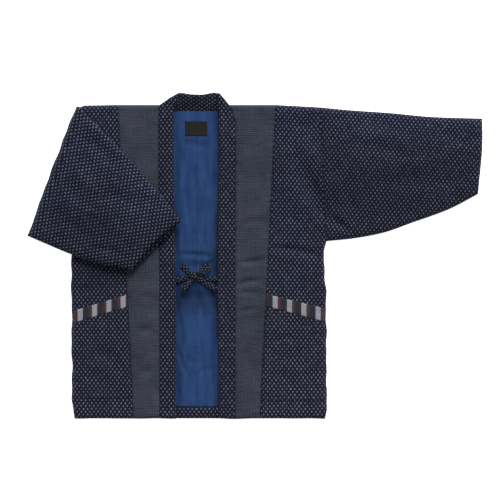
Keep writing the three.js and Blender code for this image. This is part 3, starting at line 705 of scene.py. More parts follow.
class NodeTree:
    """A material's node tree, with one call that adds a node with its settings and links."""

    def __init__(self, name: str) -> None:
        """Makes an empty material, named for what it is."""
        self.material = bpy.data.materials.new(name)
        self.material.use_nodes = True
        self.nodes = self.material.node_tree.nodes
        self.links = self.material.node_tree.links
        self.nodes.clear()

    def add(self, kind: str, *values: object, out: int | str = 0, **named: object) -> Socket | None:
        """Adds a node with its settings and its links.

        Args:
            kind: the node's type after "ShaderNode", and after a space its operation, where it has one.
            *values: values or sockets for its first inputs, in their order.
            out: the number or name of the output to give.
            **named: in lower case a setting of the node, otherwise an input by its name, with underscores for
                spaces, or by "I" and its number.

        Returns:
            The output, or None where the node has none.
        """
        kind, *operation = kind.split()
        node = self.nodes.new("ShaderNode" + kind)
        if operation:
            node.operation = operation[0]
        inputs = dict(enumerate(values))
        for key, value in named.items():
            if key[0].islower():
                setattr(node, key, value)
            else:
                inputs[int(key[1:]) if key[1:].isdigit() else key.replace("_", " ")] = value
        for key, value in inputs.items():
            if isinstance(value, Socket):
                self.links.new(value, node.inputs[key])
            else:
                node.inputs[key].default_value = value
        return node.outputs[out] if node.outputs else None

    def cloth_place(self, turn: float = 0.0) -> Socket:
        """The place on the cut cloth in metres, turned by an angle in degrees about the cloth's origin."""
        return self.add("Mapping", self.add("UVMap", uv_map="cloth"), Rotation=(0, 0, math.radians(turn)))

    def finish(self, colour: Socket, roughness: float, **more: object) -> bpy.types.Material:
        """Ends the tree with a shader of a colour, a roughness and other inputs, and gives the material."""
        self.add("OutputMaterial", self.add("BsdfPrincipled", colour, Roughness=roughness, **more))
        return self.material


# Settings of a noise that is worked out on the flat cloth, and of a Mix node for colours. Its inputs 6 and 7
# and its output 2 are the colours.
FLAT = {"noise_dimensions": "2D"}
COLOURS = {"data_type": "RGBA", "out": 2}


def thread_height(tree: NodeTree, place: Socket, spacing: float) -> Socket:
    """The height of a plain weave: (1 + sin(pi u / s + w) sin(pi v / s + w)) / 2, with w for uneven threads.

    Args:
        tree: the tree to add to.
        place: the place on the cloth in metres.
        spacing: the distance between threads in millimetres.

    Returns:
        A socket with the height, from 0 to 1.
    """
    uneven = tree.add("TexNoise", place, **FLAT, Scale=420.0, Detail=1.0)
    wobble = tree.add("Math MULTIPLY", uneven, 1.4)
    parts = tree.add("SeparateXYZ", place).node.outputs
    turns = math.pi / (spacing * MM)
    angles = (tree.add("Math MULTIPLY_ADD", parts[k], turns, wobble) for k in (0, 1))
    warp, weft = (tree.add("Math SINE", angle) for angle in angles)
    return tree.add("Math MULTIPLY_ADD", tree.add("Math MULTIPLY", warp, weft), 0.5, 0.5)


def streaks(tree: NodeTree, place: Socket, across: float, along: float, detail: float = 2.0) -> Socket:
    """Uneven yarn: noise with so many patches a metre across the cloth and along it."""
    drawn_out = tree.add("Mapping", place, Scale=(across, along, 1.0))
    return tree.add("TexNoise", drawn_out, **FLAT, Scale=1.0, Detail=detail)


def set_stops(ramp: Socket, stops: list[tuple[float, str]] | tuple[tuple[float, str], ...]) -> None:
    """Gives a colour ramp its stops, each a position and a hex colour."""
    elements = ramp.node.color_ramp.elements
    for index, (position, colour) in enumerate(stops):
        stop = elements[index] if index < 2 else elements.new(position)
        stop.position = position
        stop.color = linear(colour)


def times(colour: tuple[float, ...], factor: float) -> tuple[float, ...]:
    """A linear colour with its red, green and blue multiplied, and its alpha kept."""
    return (*(c * factor for c in colour[:3]), colour[3])


@dataclass(frozen=True)
class DottedCotton:
    """Cotton woven from resist-dyed yarn: small pale dots in staggered rows on dark navy.

    The eye sees soft edged dots that differ a little in size and tone, on a matt ground whose threads vary.
    """

    name: str
    turn: float = 0.0
    ground: str = "#0e1020"
    dot: str = "#6e7180"
    across: float = 10.45
    along: float = 14.3
    dot_width: float = 3.4
    dot_length: float = 4.5
    # How far the rows of dots wander, in metres both ways.
    wander: tuple[float, float, float] = (0.0028, 0.0036, 0.0)
    # What the full painted light tint, a lean to blue, adds to a red, green and blue of 1.
    cast: tuple[float, float, float] = (-0.17, -0.02, 0.06)
    # Real threads lie 0.45 mm apart. They are drawn this coarse so that they show from a step away.
    thread: float = 1.1

    def lattice(self, tree: NodeTree, place: Socket, offset: float) -> Socket:
        """One of the two grids of dots: a dot in the middle of each cell, shifted by a share of a cell.

        A point's place in its cell is f - 0.5, with f the fraction of place / cell + offset. The dot is where
        that vector, divided by the dot's half sizes, is shorter than 1, with a soft edge.

        Args:
            tree: the tree to add to.
            place: the place on the cloth in metres.
            offset: the shift of the grid in cells, both ways.

        Returns:
            A socket that is 1 on a dot and 0 off it, times the dot's own strength.
        """
        cell = (1 / (self.across * MM), 1 / (self.along * MM), 0.0)
        size = (2 * self.across / self.dot_width, 2 * self.along / self.dot_length, 0.0)
        scaled = tree.add("VectorMath MULTIPLY_ADD", place, cell, (offset, offset, 0.0))
        whole = tree.add("VectorMath FLOOR", scaled)
        inside = tree.add("VectorMath SUBTRACT", scaled, whole)
        centred = tree.add("VectorMath SUBTRACT", inside, (0.5, 0.5, 0.0))
        in_dots = tree.add("VectorMath MULTIPLY", centred, size)
        length = tree.add("VectorMath LENGTH", in_dots, out="Value")
        shape = tree.add("MapRange", length, 0.7, 1.25, 1.0, 0.0, interpolation_type="SMOOTHSTEP")
        random = tree.add("TexWhiteNoise", whole, noise_dimensions="3D", out="Value")
        return tree.add("Math MULTIPLY", shape, tree.add("Math MULTIPLY_ADD", random, 0.22, 0.72))

    def material(self) -> bpy.types.Material:
        """Builds the material."""
        tree = NodeTree(self.name)
        place = tree.cloth_place(self.turn)
        drift = tree.add("TexNoise", place, **FLAT, Scale=190.0, Detail=1.0, out=1)
        centred = tree.add("VectorMath SUBTRACT", drift, (0.5, 0.5, 0.5))
        moved = tree.add("VectorMath MULTIPLY_ADD", centred, self.wander, place)
        dots = tree.add("Math MAXIMUM", self.lattice(tree, moved, 0.0), self.lattice(tree, moved, 0.5))
        threads = thread_height(tree, place, self.thread)
        frayed = tree.add("Math MULTIPLY", dots, tree.add("Math MULTIPLY_ADD", threads, 0.35, 0.78))
        yarn = streaks(tree, place, 1400.0, 90.0)
        dark = linear(self.ground)
        ground = tree.add("Mix", yarn, **COLOURS, I6=dark, I7=times(dark, 1.9))
        colour = tree.add("Mix", frayed, **COLOURS, I6=ground, I7=linear(self.dot))
        worn = tree.add("TexNoise", place, **FLAT, Scale=9.0, Detail=3.0)
        fade = tree.add("MapRange", worn, 0.3, 0.7, 0.92, 1.08)
        # Painted light and shade scale the colour's value, and the painted light tint leans it to blue.
        painted_shading, cast = (tree.add("Attribute", attribute_name=name, out="Fac") for name in ("painted_shading", "cast"))
        toned = tree.add("HueSaturation", Value=tree.add("Math MULTIPLY", fade, painted_shading), Color=colour)
        tint = tree.add("VectorMath MULTIPLY_ADD", cast, self.cast, (1.0, 1.0, 1.0))
        tinted = tree.add("VectorMath MULTIPLY", toned, tint)
        bump = tree.add("Bump", Strength=0.55, Distance=0.0006, Height=threads)
        sheen = {"Sheen_Weight": 0.05, "Sheen_Roughness": 0.45, "Sheen_Tint": linear("#c9cede")}
        return tree.finish(tinted, 0.9, Specular_IOR_Level=0.15, Normal=bump, **sheen)


@dataclass(frozen=True)
class SlateCotton:
    """Cotton in a very fine two-tone check, slate grey with brown and teal threads among the grey ones.

    The eye sees a mottled grey from afar, and near by a grid of thin threads with uneven slubs.
    """

    name: str = "Slate fine-checked cotton"
    dark: str = "#1b1e28"
    light: str = "#4a4f5e"
    greenish: str = "#6f8a8e"
    reddish: str = "#8d8090"
    # Real lines of the check lie 1.2 mm apart. They are drawn coarser, so that the check shows.
    weft: float = 5.1
    warp: float = 7.2

    def material(self) -> bpy.types.Material:
        """Builds the material, whose cast turns from greenish near the shoulder to reddish near the hem."""
        tree = NodeTree(self.name)
        place = tree.cloth_place()
        parts = tree.add("SeparateXYZ", place).node.outputs
        wobble = tree.add("TexNoise", place, **FLAT, Scale=120.0, Detail=2.0)
        drift = tree.add("Math MULTIPLY", wobble, 4.2)
        down, across = (
            tree.add("Math SINE", tree.add("Math MULTIPLY_ADD", part, math.tau / (repeat * MM), drift))
            for part, repeat in ((parts[0], self.warp), (parts[1], self.weft))
        )
        lines = tree.add("Math MULTIPLY_ADD", down, 0.08, tree.add("Math MULTIPLY", across, 0.24))
        threads = tree.add("Math ADD", streaks(tree, place, 700.0, 24.0), streaks(tree, place, 24.0, 700.0))
        cloud = tree.add("TexNoise", place, **FLAT, Scale=16.0, Detail=3.0)
        slubs = tree.add("Math MULTIPLY_ADD", threads, 0.7, -0.49)
        tone = tree.add("Math ADD", lines, tree.add("Math MULTIPLY_ADD", cloud, 0.6, slubs))
        grey = tree.add("Mix", tone, **COLOURS, I6=linear(self.dark), I7=linear(self.light))
        tint = tree.add("TexNoise", place, **FLAT, Scale=9.0, Detail=1.0)
        down_cloth = tree.add("Math MULTIPLY_ADD", parts[1], -0.4, -0.18)
        hue = tree.add("ValToRGB", tree.add("Math ADD", tint, down_cloth))
        set_stops(hue, [(0.38, self.greenish), (0.6, self.reddish)])
        tinted = tree.add("Mix", 0.36, **COLOURS, blend_type="OVERLAY", I6=grey, I7=hue)
        bump = tree.add("Bump", Strength=0.5, Distance=0.0006, Height=thread_height(tree, place, 1.0))
        sheen = {"Sheen_Weight": 0.05, "Sheen_Roughness": 0.45, "Sheen_Tint": linear("#d4d8dd")}
        return tree.finish(tinted, 0.88, Specular_IOR_Level=0.25, Normal=bump, **sheen)


@dataclass(frozen=True)
class BlueLining:
    """Plain blue cotton lining: a close weave whose colour varies a little in soft streaks down the cloth."""

    name: str = "Plain blue cotton lining"
    colour: str = "#1d3562"
    pale: str = "#2b4875"

    def material(self) -> bpy.types.Material:
        """Builds the material."""
        tree = NodeTree(self.name)
        place = tree.cloth_place()
        weave = thread_height(tree, place, 0.9)
        cloud = tree.add("Math MULTIPLY_ADD", streaks(tree, place, 62.0, 15.0, 3.0), 1.9, -0.55)
        tone = tree.add("Math MULTIPLY_ADD", weave, 0.2, cloud)
        even = tree.add("Mix", tone, **COLOURS, I6=linear(self.colour), I7=linear(self.pale))
        # Painted shade, darker under the bow and beside the collar edges, scales the colour's value.
        painted_shading = tree.add("Attribute", attribute_name="painted_shading", out="Fac")
        crumple = tree.add("TexNoise", place, **FLAT, Scale=70.0, Detail=3.0, Roughness=0.5)
        soft = tree.add("Bump", Strength=0.35, Distance=0.002, Height=crumple)
        bump = tree.add("Bump", Strength=0.4, Distance=0.0005, Height=weave, Normal=soft)
        sheen = {"Sheen_Weight": 0.04, "Sheen_Roughness": 0.4, "Sheen_Tint": linear("#b9c8e6")}
        toned = tree.add("HueSaturation", Value=painted_shading, Color=even)
        return tree.finish(toned, 0.85, Specular_IOR_Level=0.15, Normal=bump, **sheen)


@dataclass(frozen=True)
class StripedCotton:
    """Cotton with broad upright stripes of white, red brown and navy yarn, with pin lines in the navy."""

    name: str = "Striped welt cotton"
    repeat: float = 35.7
    # Where each stripe of one repeat begins, as a share of it, and its colour.
    stripes: tuple[tuple[float, str], ...] = (
        (0.0, "#1c1f27"), (0.05, "#282c34"), (0.09, "#1b1e26"), (0.14, "#272a31"), (0.18, "#231f23"),
        (0.23, "#39272a"), (0.32, "#442c2b"), (0.42, "#3c2829"), (0.48, "#6f6b70"), (0.51, "#8c8b94"),
        (0.8, "#8c8b94"), (0.83, "#62646c"), (0.86, "#1b1f28"), (0.91, "#2a2f38"), (0.96, "#1c1f27"),
    )

    def material(self) -> bpy.types.Material:
        """Builds the material: the stripe is looked up at the fraction of u / repeat."""
        tree = NodeTree(self.name)
        place = tree.cloth_place()
        wobble = tree.add("TexNoise", place, **FLAT, Scale=260.0, Detail=1.0)
        drift = tree.add("Math MULTIPLY", wobble, 0.02)
        turns = tree.add("Math MULTIPLY_ADD", tree.add("SeparateXYZ", place), 1 / (self.repeat * MM), drift)
        ramp = tree.add("ValToRGB", tree.add("Math FRACT", turns))
        ramp.node.color_ramp.interpolation = "CONSTANT"
        set_stops(ramp, self.stripes)
        value = tree.add("MapRange", streaks(tree, place, 1500.0, 60.0), 0.2, 0.8, 0.86, 1.1)
        bump = tree.add("Bump", Strength=0.55, Distance=0.0006, Height=thread_height(tree, place, 1.0))
        sheen = {"Sheen_Weight": 0.1, "Sheen_Roughness": 0.45}
        toned = tree.add("HueSaturation", Value=value, Color=ramp)
        return tree.finish(toned, 0.88, Specular_IOR_Level=0.25, Normal=bump, **sheen)


@dataclass(frozen=True)
class LabelSatin:
    """Woven polyester satin of a sewn-in label: near black, a little glossy across its ribs."""

    name: str = "Woven label satin"
    colour: str = "#090808"
    rib: str = "#181615"
    # Real ribs lie 0.3 mm apart. They are drawn this coarse so that they show.
    rib_spacing: float = 0.9

    def material(self) -> bpy.types.Material:
        """Builds the material."""
        tree = NodeTree(self.name)
        down = tree.add("SeparateXYZ", tree.cloth_place(), out=1)
        ribs = tree.add("Math SINE", tree.add("Math MULTIPLY", down, math.tau / (self.rib_spacing * MM)))
        tone = tree.add("Math MULTIPLY_ADD", ribs, 0.2, 0.5)
        colour = tree.add("Mix", tone, **COLOURS, I6=linear(self.colour), I7=linear(self.rib))
        bump = tree.add("Bump", Strength=0.4, Distance=0.0004, Height=ribs)
        return tree.finish(colour, 0.6, Specular_IOR_Level=0.2, Normal=bump)


@dataclass(frozen=True)
class SewingThread:
    """Spun polyester sewing thread: matt, twisted, in one colour."""

    name: str
    colour: str

    def material(self) -> bpy.types.Material:
        """Builds the material, with slanting twist lines 0.5 mm apart on Object coordinates."""
        tree = NodeTree(self.name)
        place = tree.add("TexCoord", out="Object")
        twist = tree.add("TexWave", place, bands_direction="DIAGONAL", Scale=320.0, out=1)
        light = linear(self.colour)
        colour = tree.add("Mix", twist, **COLOURS, I6=times(light, 0.6), I7=light)
        bump = tree.add("Bump", Strength=0.3, Distance=0.0002, Height=twist)
        return tree.finish(colour, 0.75, Normal=bump)


@dataclass(frozen=True)
class Cloth:
    """A material and the name of its slot."""

    material: bpy.types.Material
    slot: str


class Finishes:
    """The jacket's cloths, one for each material and for each way that the dotted one is cut."""

    def __init__(self) -> None:
        """Builds every material."""
        dotted = {
            "body": DottedCotton("Dotted navy cotton"),
            "nape": DottedCotton("Dotted navy cotton, cut across", turn=90, across=9.7, along=13.3),
            "sleeve": DottedCotton("Dotted navy cotton, sleeve"),
            "folded_sleeve": DottedCotton("Dotted navy cotton, folded sleeve"),
            "tie": DottedCotton("Dotted navy cotton, ties", 0.0, "#090b15", "#636674", 8.2, 11.6, 2.8, 3.6),
        }
        self.dotted = {name: Cloth(finish.material(), "dotted_cotton") for name, finish in dotted.items()}
        self.slate = Cloth(SlateCotton().material(), "slate_cotton")
        self.lining = Cloth(BlueLining().material(), "blue_lining")
        self.stripes = Cloth(StripedCotton().material(), "striped_cotton")
        self.label = Cloth(LabelSatin().material(), "label_satin")
        self.dark_thread = Cloth(SewingThread("Navy sewing thread", "#22263a").material(), "label_satin")


def dress(piece: bpy.types.Object, cloth: Cloth, *nodes: str) -> None:
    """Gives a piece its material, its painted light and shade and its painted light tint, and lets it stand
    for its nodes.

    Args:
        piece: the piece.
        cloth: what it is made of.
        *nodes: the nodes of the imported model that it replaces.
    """
    piece.data.materials.append(cloth.material)
    flat = np.empty(3 * len(piece.data.vertices), dtype=np.float32)
    piece.data.vertices.foreach_get("co", flat)
    plan = (flat.reshape(-1, 3) - PLAN_ORIGIN) / MM
    # Painted light and shade, and the painted light tint ('cast'), kept on the vertices for the material.
    painted_shading = 1 + sum_of_patches(plan, LINING_PAINTED_SHADE if cloth.slot == "blue_lining" else DOTTED_PAINTED_SHADING)
    for name, values in (("painted_shading", painted_shading), ("cast", sum_of_patches(plan, PAINTED_LIGHT_TINT))):
        layer = piece.data.attributes.new(name, "FLOAT", "POINT")
        layer.data.foreach_set("value", values.astype(np.float32))
    if nodes:
        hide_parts(*nodes)
    log.info("%s: %d faces", piece.name, len(piece.data.polygons))


def lay(
    name: str,
    node: str,
    cloth: Cloth,
    plan: Array,
    top: Array,
    bottom: Array | float,
    uv: Array | None = None,
) -> None:
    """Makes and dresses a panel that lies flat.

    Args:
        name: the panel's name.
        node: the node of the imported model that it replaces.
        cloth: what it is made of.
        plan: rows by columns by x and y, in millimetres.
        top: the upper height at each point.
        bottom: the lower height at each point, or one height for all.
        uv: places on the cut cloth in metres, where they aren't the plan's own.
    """
    piece = slab(name, plan, top, bottom + 0 * top, uv)
    dress(piece, cloth, node)


def seam_marks(distance: Array, along: Array, seed: int, depth: float = 1.5) -> Array:
    """The narrow valley beside a seam, -depth exp(-distance / 2.6), and the puckers on it."""
    return pucker(distance, along, 0.42, seed=seed) - depth * np.exp(-distance / 2.6)


@dataclass
class BodyPanels:
    """The back, its lining and hem facing, the strips and the side fronts with their pockets."""

    finishes: Finishes
    cell: float = 3.0
    # How far a pocket and its welt stay in from the strip seam and from the side.
    from_strip_seam: float = 0.8
    from_side: float = 4.5
    # How far the back stays below the lining in the opening, and the least height it keeps there.
    under_lining: float = 3.6
    least_back: float = 2.2
    rise: float = 1.6
    rise_reach: float = 30.0

    def build(self) -> None:
        """Builds the panels of both halves."""
        for side in Side:
            self.build_back(side)
            self.build_lining(side)
            self.build_strip(side)
            self.build_side_front(side)

    def back_plan(self, side: Side, across: Array, depth: Array) -> Array:
        """The plan of a back half.

        Args:
            side: which half.
            across: stations across as shares, from the centre back (0) to the side (1).
            depth: stations down from the shoulder in millimetres.

        Returns:
            Rows by columns by x and y.
        """
        edge = side_edge_x(side, -depth)
        inner = np.full_like(depth, side.value * 0.5 * SEAM_GAP)
        x = inner[:, None] + across[None, :] * (edge - inner)[:, None]
        rise = np.clip((np.abs(x) - NECK_HALF_WIDTH) / (COLLAR_OUTER - NECK_HALF_WIDTH), 0, 1)
        top = -NECK_DROP + rise * (shoulder_line(x) + NECK_DROP)
        fall = 1.0 - depth / BODY_LENGTH
        return np.dstack([x, -depth[:, None] + top * fall[:, None]])

    def build_back(self, side: Side) -> None:
        """Builds a back half: flat underneath, rounded up at the side, with a shallow seam at the centre."""
        depth = spaced(BODY_LENGTH, 8.0, 0.2, 10.0)
        plan = self.back_plan(side, spaced_shares(300.0, 7.0, 0.25, 12.0), depth)
        far = edge_distances(plan)
        free = share_of_thickness(far, {"last": FREE_EDGE})
        below_armhole = smoothstep(ARMHOLE_DEPTH - 12, ARMHOLE_DEPTH + 12, -plan[..., 1])
        ends = share_of_thickness(far, {"start": HEM_EDGE, "end": HEM_EDGE})
        share = ends * (1 - below_armhole * (1 - free))
        bottom = BACK_THICKNESS * (1 - share) + 1.2 * np.exp(-far["first"] / 2.2)
        bare = smoothstep(OPENING_HALF_WIDTH + 22, OPENING_HALF_WIDTH + 8, np.abs(plan[..., 0]))
        under_lining = np.maximum(self.lining_height(plan) - self.under_lining, self.least_back)
        top = (BACK_THICKNESS + bare * (np.minimum(under_lining, BACK_THICKNESS) - BACK_THICKNESS)) * share
        cloth, flat = self.finishes.dotted["body"], (330, BODY_LENGTH + 10)
        lay(f"back_panel_{side.word}", f"back_{side.word}", cloth, plan, top, bottom)

    def lining_height(self, plan: Array) -> Array:
        """The height of the lining's upper side, with its folds and a seam down the centre back.

        Args:
            plan: x and y of each point in millimetres.

        Returns:
            The height at each point.
        """
        x, y = xy(plan)
        open_share = smoothstep(0, 26, OPENING_HALF_WIDTH + 14 - np.abs(x))
        wrinkles = 0.16 * waves(x * 1.5, y * 0.5, 34, seed=21) + 0.35 * waves(x, y * 0.6, 80, seed=24)
        for fold in LINING_FOLDS:
            wrinkles = wrinkles + fold.height(plan)
        seam = -0.35 * np.exp(-np.abs(x) / 3.0) + pucker(np.abs(x), y, 0.16, seed=22, spread=9)
        beside_collar = -4.0 * np.exp(-(((np.abs(x) - OPENING_HALF_WIDTH) / 10.0) ** 2))
        drawn_up = 1.2 * np.exp(-(((y + 424) / 22) ** 2)) - 5.4 * np.exp(-(((y + 490) / 34) ** 2))
        drawn_up = drawn_up * smoothstep(60, 24, np.abs(x))
        top = LINING_TOP + opening_bulge(x) + open_share * (1.25 * wrinkles + seam) + beside_collar + drawn_up
        return np.maximum(top, 4.0)

    def build_lining(self, side: Side) -> None:
        """Builds half of the lining, down to the facing, and half of the facing turned up inside the hem."""
        reach = abs(side_edge_x(side, np.array([-300.0]))[0]) - 14.0
        seen = np.linspace(0.0, OPENING_HALF_WIDTH + 16.0, 34)
        hidden = np.linspace(OPENING_HALF_WIDTH + 16.0, reach, 9)[1:]
        across = np.concatenate([[0.5 * SEAM_GAP], seen[1:], hidden])
        facing_top = BODY_LENGTH - HEM_FACING
        pieces = [
            ("lining", self.finishes.lining, NECK_DROP + 0.6, facing_top - 0.2, 330),
            ("hem_facing", self.finishes.dotted["body"], facing_top + 0.2, BODY_LENGTH - 1.5, 13),
        ]
        for name, cloth, start, end, rows in pieces:
            x, y = np.meshgrid(side.value * across, -np.linspace(start, end, rows))
            plan = np.dstack([x, y])
            down, up = -y - start, end + y
            top = self.lining_height(plan) + pucker(down if name == "hem_facing" else up, x, 0.3, seed=23)
            if name == "hem_facing":
                top = top + 0.55 * crown(down, 2.5) - 3.4 * (1 - crown(up, 9.0))
            else:
                top = top - 0.6 * np.exp(-up / 3.0)
            node, flat, bottom = f"{name}_{side.word}", (reach, end - start), top - LINING_THICKNESS
            lay(f"{node}_cloth", node, cloth, plan, top, bottom)

    def front_height(self, plan: Array, share: Array) -> Array:
        """The height of the fronts' upper side: the pad's thickness, rounded by share, and its relief."""
        pressed = 1 - 0.8 * covered(plan)
        return FRONT_BOTTOM + FRONT_THICKNESS * share + relief(plan, FRONT_FOLDS) * share**2 * pressed

    def build_strip(self, side: Side) -> None:
        """Builds the slate strip between the collar band and the side front."""
        depth = spaced(BODY_LENGTH, self.cell, 0.3, 12.0)
        y = self.shoulder_rise(depth) - depth
        inner = np.column_stack([collar_outer_x(side, y) + side.value * SEAM_GAP, y])
        outer = np.column_stack([strip_edge_x(side, y) - side.value * SEAM_GAP, y])
        plan = ruled_plan(inner, outer, spaced_shares(85.0, self.cell, 0.3, 9.0))
        plan[-1, :, 1] += wavy_hem(plan[-1, :, 0])
        far = edge_distances(plan)
        edges = {"first": SEAM_EDGE, "last": SEAM_EDGE, "start": FREE_EDGE, "end": HEM_EDGE}
        top = self.front_height(plan, share_of_thickness(far, edges))
        top = top + seam_marks(far["first"], plan[..., 1], 41 + side.value)
        top = top + seam_marks(far["last"], plan[..., 1], 51 + side.value)
        cloth, flat = self.finishes.slate, (105, BODY_LENGTH)
        lay(f"slate_strip_{side.word}", f"strip_{side.word}", cloth, plan, top, FRONT_BOTTOM)

    def shoulder_rise(self, depth: Array) -> Array:
        """How far the fronts bulge up over the shoulder line: rise exp(-depth / reach)."""
        return self.rise * np.exp(-depth / self.rise_reach)

    def side_front_plan(self, side: Side, depth: Array, share: Array) -> Array:
        """The plan of a side front, whose rows run straight across from the strip seam to the side.

        Args:
            side: which half.
            depth: stations down from the shoulder in millimetres.
            share: shares across.

        Returns:
            Rows by columns by x and y.
        """
        edge = side_edge_x(side, -depth)
        y = self.shoulder_rise(depth) - depth
        slope = shoulder_line(edge) * (1 - depth / BODY_LENGTH)
        inner = np.column_stack([strip_edge_x(side, -depth), y])
        return ruled_plan(inner, np.column_stack([edge, y + slope]), share)

    def side_front_height(self, side: Side, plan: Array) -> Array:
        """The height of a side front at any place on it, which its pocket and welt lie on.

        Args:
            side: which half.
            plan: x and y of each point in millimetres.

        Returns:
            The height of the upper side.
        """
        x, y = xy(plan)
        from_seam = np.abs(x - strip_edge_x(side, y))
        from_side = np.maximum(0.0, np.abs(side_edge_x(side, y)) - np.abs(x))
        from_top = np.maximum(0.0, shoulder_line(x) * (1 + y / BODY_LENGTH) - y)
        from_hem = np.maximum(0.0, y + BODY_LENGTH)
        free = smoothstep(ARMHOLE_DEPTH - 14, ARMHOLE_DEPTH + 14, -y)
        at_side = SEAM_EDGE.left(from_side) * (1 - free) + FREE_EDGE.left(from_side) * free
        share = at_side * SEAM_EDGE.left(from_seam) * FREE_EDGE.left(from_top) * HEM_EDGE.left(from_hem)
        top = self.front_height(plan, np.maximum(share, THINNEST))
        top = top + seam_marks(from_seam, y, 51 + side.value)
        top = top + (1 - free) * seam_marks(from_side, y, 61 + side.value)
        return top + free * pucker(from_side, y, 0.5, seed=71 + side.value, spread=14)

    def build_side_front(self, side: Side) -> None:
        """Builds a side front with its patch pocket and the striped welt on the pocket's slanting mouth."""
        depth = spaced(BODY_LENGTH, self.cell, 0.3, 12.0)
        plan = self.side_front_plan(side, depth, spaced_shares(150.0, self.cell, 0.3, 12.0))
        plan[-1, :, 1] += wavy_hem(plan[-1, :, 0])
        top = self.side_front_height(side, plan)
        place = POCKET_PLACE[side]
        below_pocket = 0.45 * np.exp(-(((plan[..., 1] - place.bottom + 4) / 3.4) ** 2))
        cloth, flat = self.finishes.dotted["body"], (166, BODY_LENGTH)
        top = top + below_pocket
        lay(f"side_front_{side.word}", f"front_{side.word}", cloth, plan, top, FRONT_BOTTOM)
        self.build_pocket(side, place)
        self.build_welt(side, place)

    def patch(self, side: Side, t: Array, heights: Array, count: int) -> tuple[Array, Distances, Array]:
        """The plan of a patch on a side front, with its edge distances and the height that it lies on.

        Args:
            side: which half.
            t: shares down the patch of its rows.
            heights: y of its upper and lower edge at the strip seam, then at the side.
            count: points in each row.

        Returns:
            The plan, the distances from its edges and the side front's height at each point.
        """
        inner = heights[0] + t * (heights[1] - heights[0])
        outer = heights[2] + t * (heights[3] - heights[2])
        near = np.column_stack([strip_edge_x(side, inner) + side.value * self.from_strip_seam, inner])
        far = np.column_stack([side_edge_x(side, outer) - side.value * self.from_side, outer])
        plan = ruled_plan(near, far, np.linspace(0, 1, count))
        return plan, edge_distances(plan), self.side_front_height(side, plan)

    def build_pocket(self, side: Side, place: PocketPlace) -> None:
        """Builds the pocket's cloth from the welt down, puckered at its sewn edges."""
        heights = np.array([place.welt_inner_low, place.bottom, place.welt_side_low, place.bottom])
        plan, far, base = self.patch(side, spaced_shares(1000.0, 12.0, 0.3, 40.0), heights - GAP, 56)
        edges = {"first": Rounding(5, 0.8), "last": Rounding(12, 0.9), "end": Rounding(7, 0.6)}
        share = share_of_thickness(far, edges)
        slack = 1.1 * smoothstep(0, 50, far["start"]) * smoothstep(0, 40, far["end"])
        top = base + GAP + (POCKET_THICKNESS + slack) * share
        top = top + pucker(far["end"], plan[..., 0], 0.4, seed=81 + side.value)
        top = top + pucker(far["start"], plan[..., 0], 0.3, seed=91 + side.value)
        cloth = self.finishes.dotted["body"]
        name, node = f"patch_pocket_{side.word}", f"pocket_{side.word}"
        lay(name, node, cloth, plan, top, base + PATCH_GAP)

    def build_welt(self, side: Side, place: PocketPlace) -> None:
        """Builds the striped welt, a folded band a little proud of the pocket below it."""
        heights = [place.welt_inner_top, place.welt_inner_low, place.welt_side_top, place.welt_side_low]
        plan, far, base = self.patch(side, spaced_shares(40.0, 1.6, 0.4, 4.0), np.array(heights), 76)
        sewn, mouth = Rounding(3, 0.7), Rounding(3, 0.75)
        edges = {"first": sewn, "last": Rounding(6, 0.8), "start": mouth, "end": Rounding(3, 0.6)}
        share = share_of_thickness(far, edges)
        top = base + GAP + (WELT_THICKNESS + 0.7) * share
        top = top + 0.12 * waves(*xy(plan), 22, seed=95)
        uv = np.dstack([side.value * (WELT_START[side] - plan[..., 0]), plan[..., 1]]) * MM
        name, node = f"striped_welt_{side.word}", f"pocket_welt_{side.word}"
        lay(name, node, self.finishes.stripes, plan, top, base + PATCH_GAP, uv)


# The x at which the welts' first stripe begins, so that the white blocks fall where they do on the jacket.
WELT_START = {Side.LEFT: -313.6, Side.RIGHT: 220.0}


def catmull_rom(points: Line, count: int = 400) -> Array:
    """A centripetal Catmull-Rom curve through points, sampled at even steps of its length.

    Each stretch is the cubic Hermite curve whose end slopes come from the neighbours, with knots spaced by
    the square root of the distances. The curve runs on straight past its first and last points.

    Args:
        points: the points that the curve passes through.
        count: how many samples to give.

    Returns:
        An array of count points.
    """
    p = np.array(points, float)
    p = np.vstack([2 * p[0] - p[1], p, 2 * p[-1] - p[-2]])
    pieces = []
    t = np.linspace(0, 1, 60)[:, None]
    for a, b, c, d in zip(p[:-3], p[1:-2], p[2:-1], p[3:]):
        d0, d1, d2 = (math.sqrt(np.linalg.norm(q - r)) for q, r in ((b, a), (c, b), (d, c)))
        start = ((b - a) / d0 - (c - a) / (d0 + d1) + (c - b) / d1) * d1
        end = ((c - b) / d1 - (d - b) / (d1 + d2) + (d - c) / d2) * d1
        late = 3 * t**2 - 2 * t**3
        pieces.append((1 - late) * b + (t**3 - 2 * t**2 + t) * start + late * c + (t**3 - t**2) * end)
    dense = np.vstack(pieces)
    run = run_along(dense)
    return between_rows(np.linspace(0, run[-1], count), run, dense)


def curve_at(curve: Array, share: Array) -> Array:
    """Points of an evenly sampled curve at shares of its length."""
    return between_rows(share, np.linspace(0, 1, len(curve)), curve)


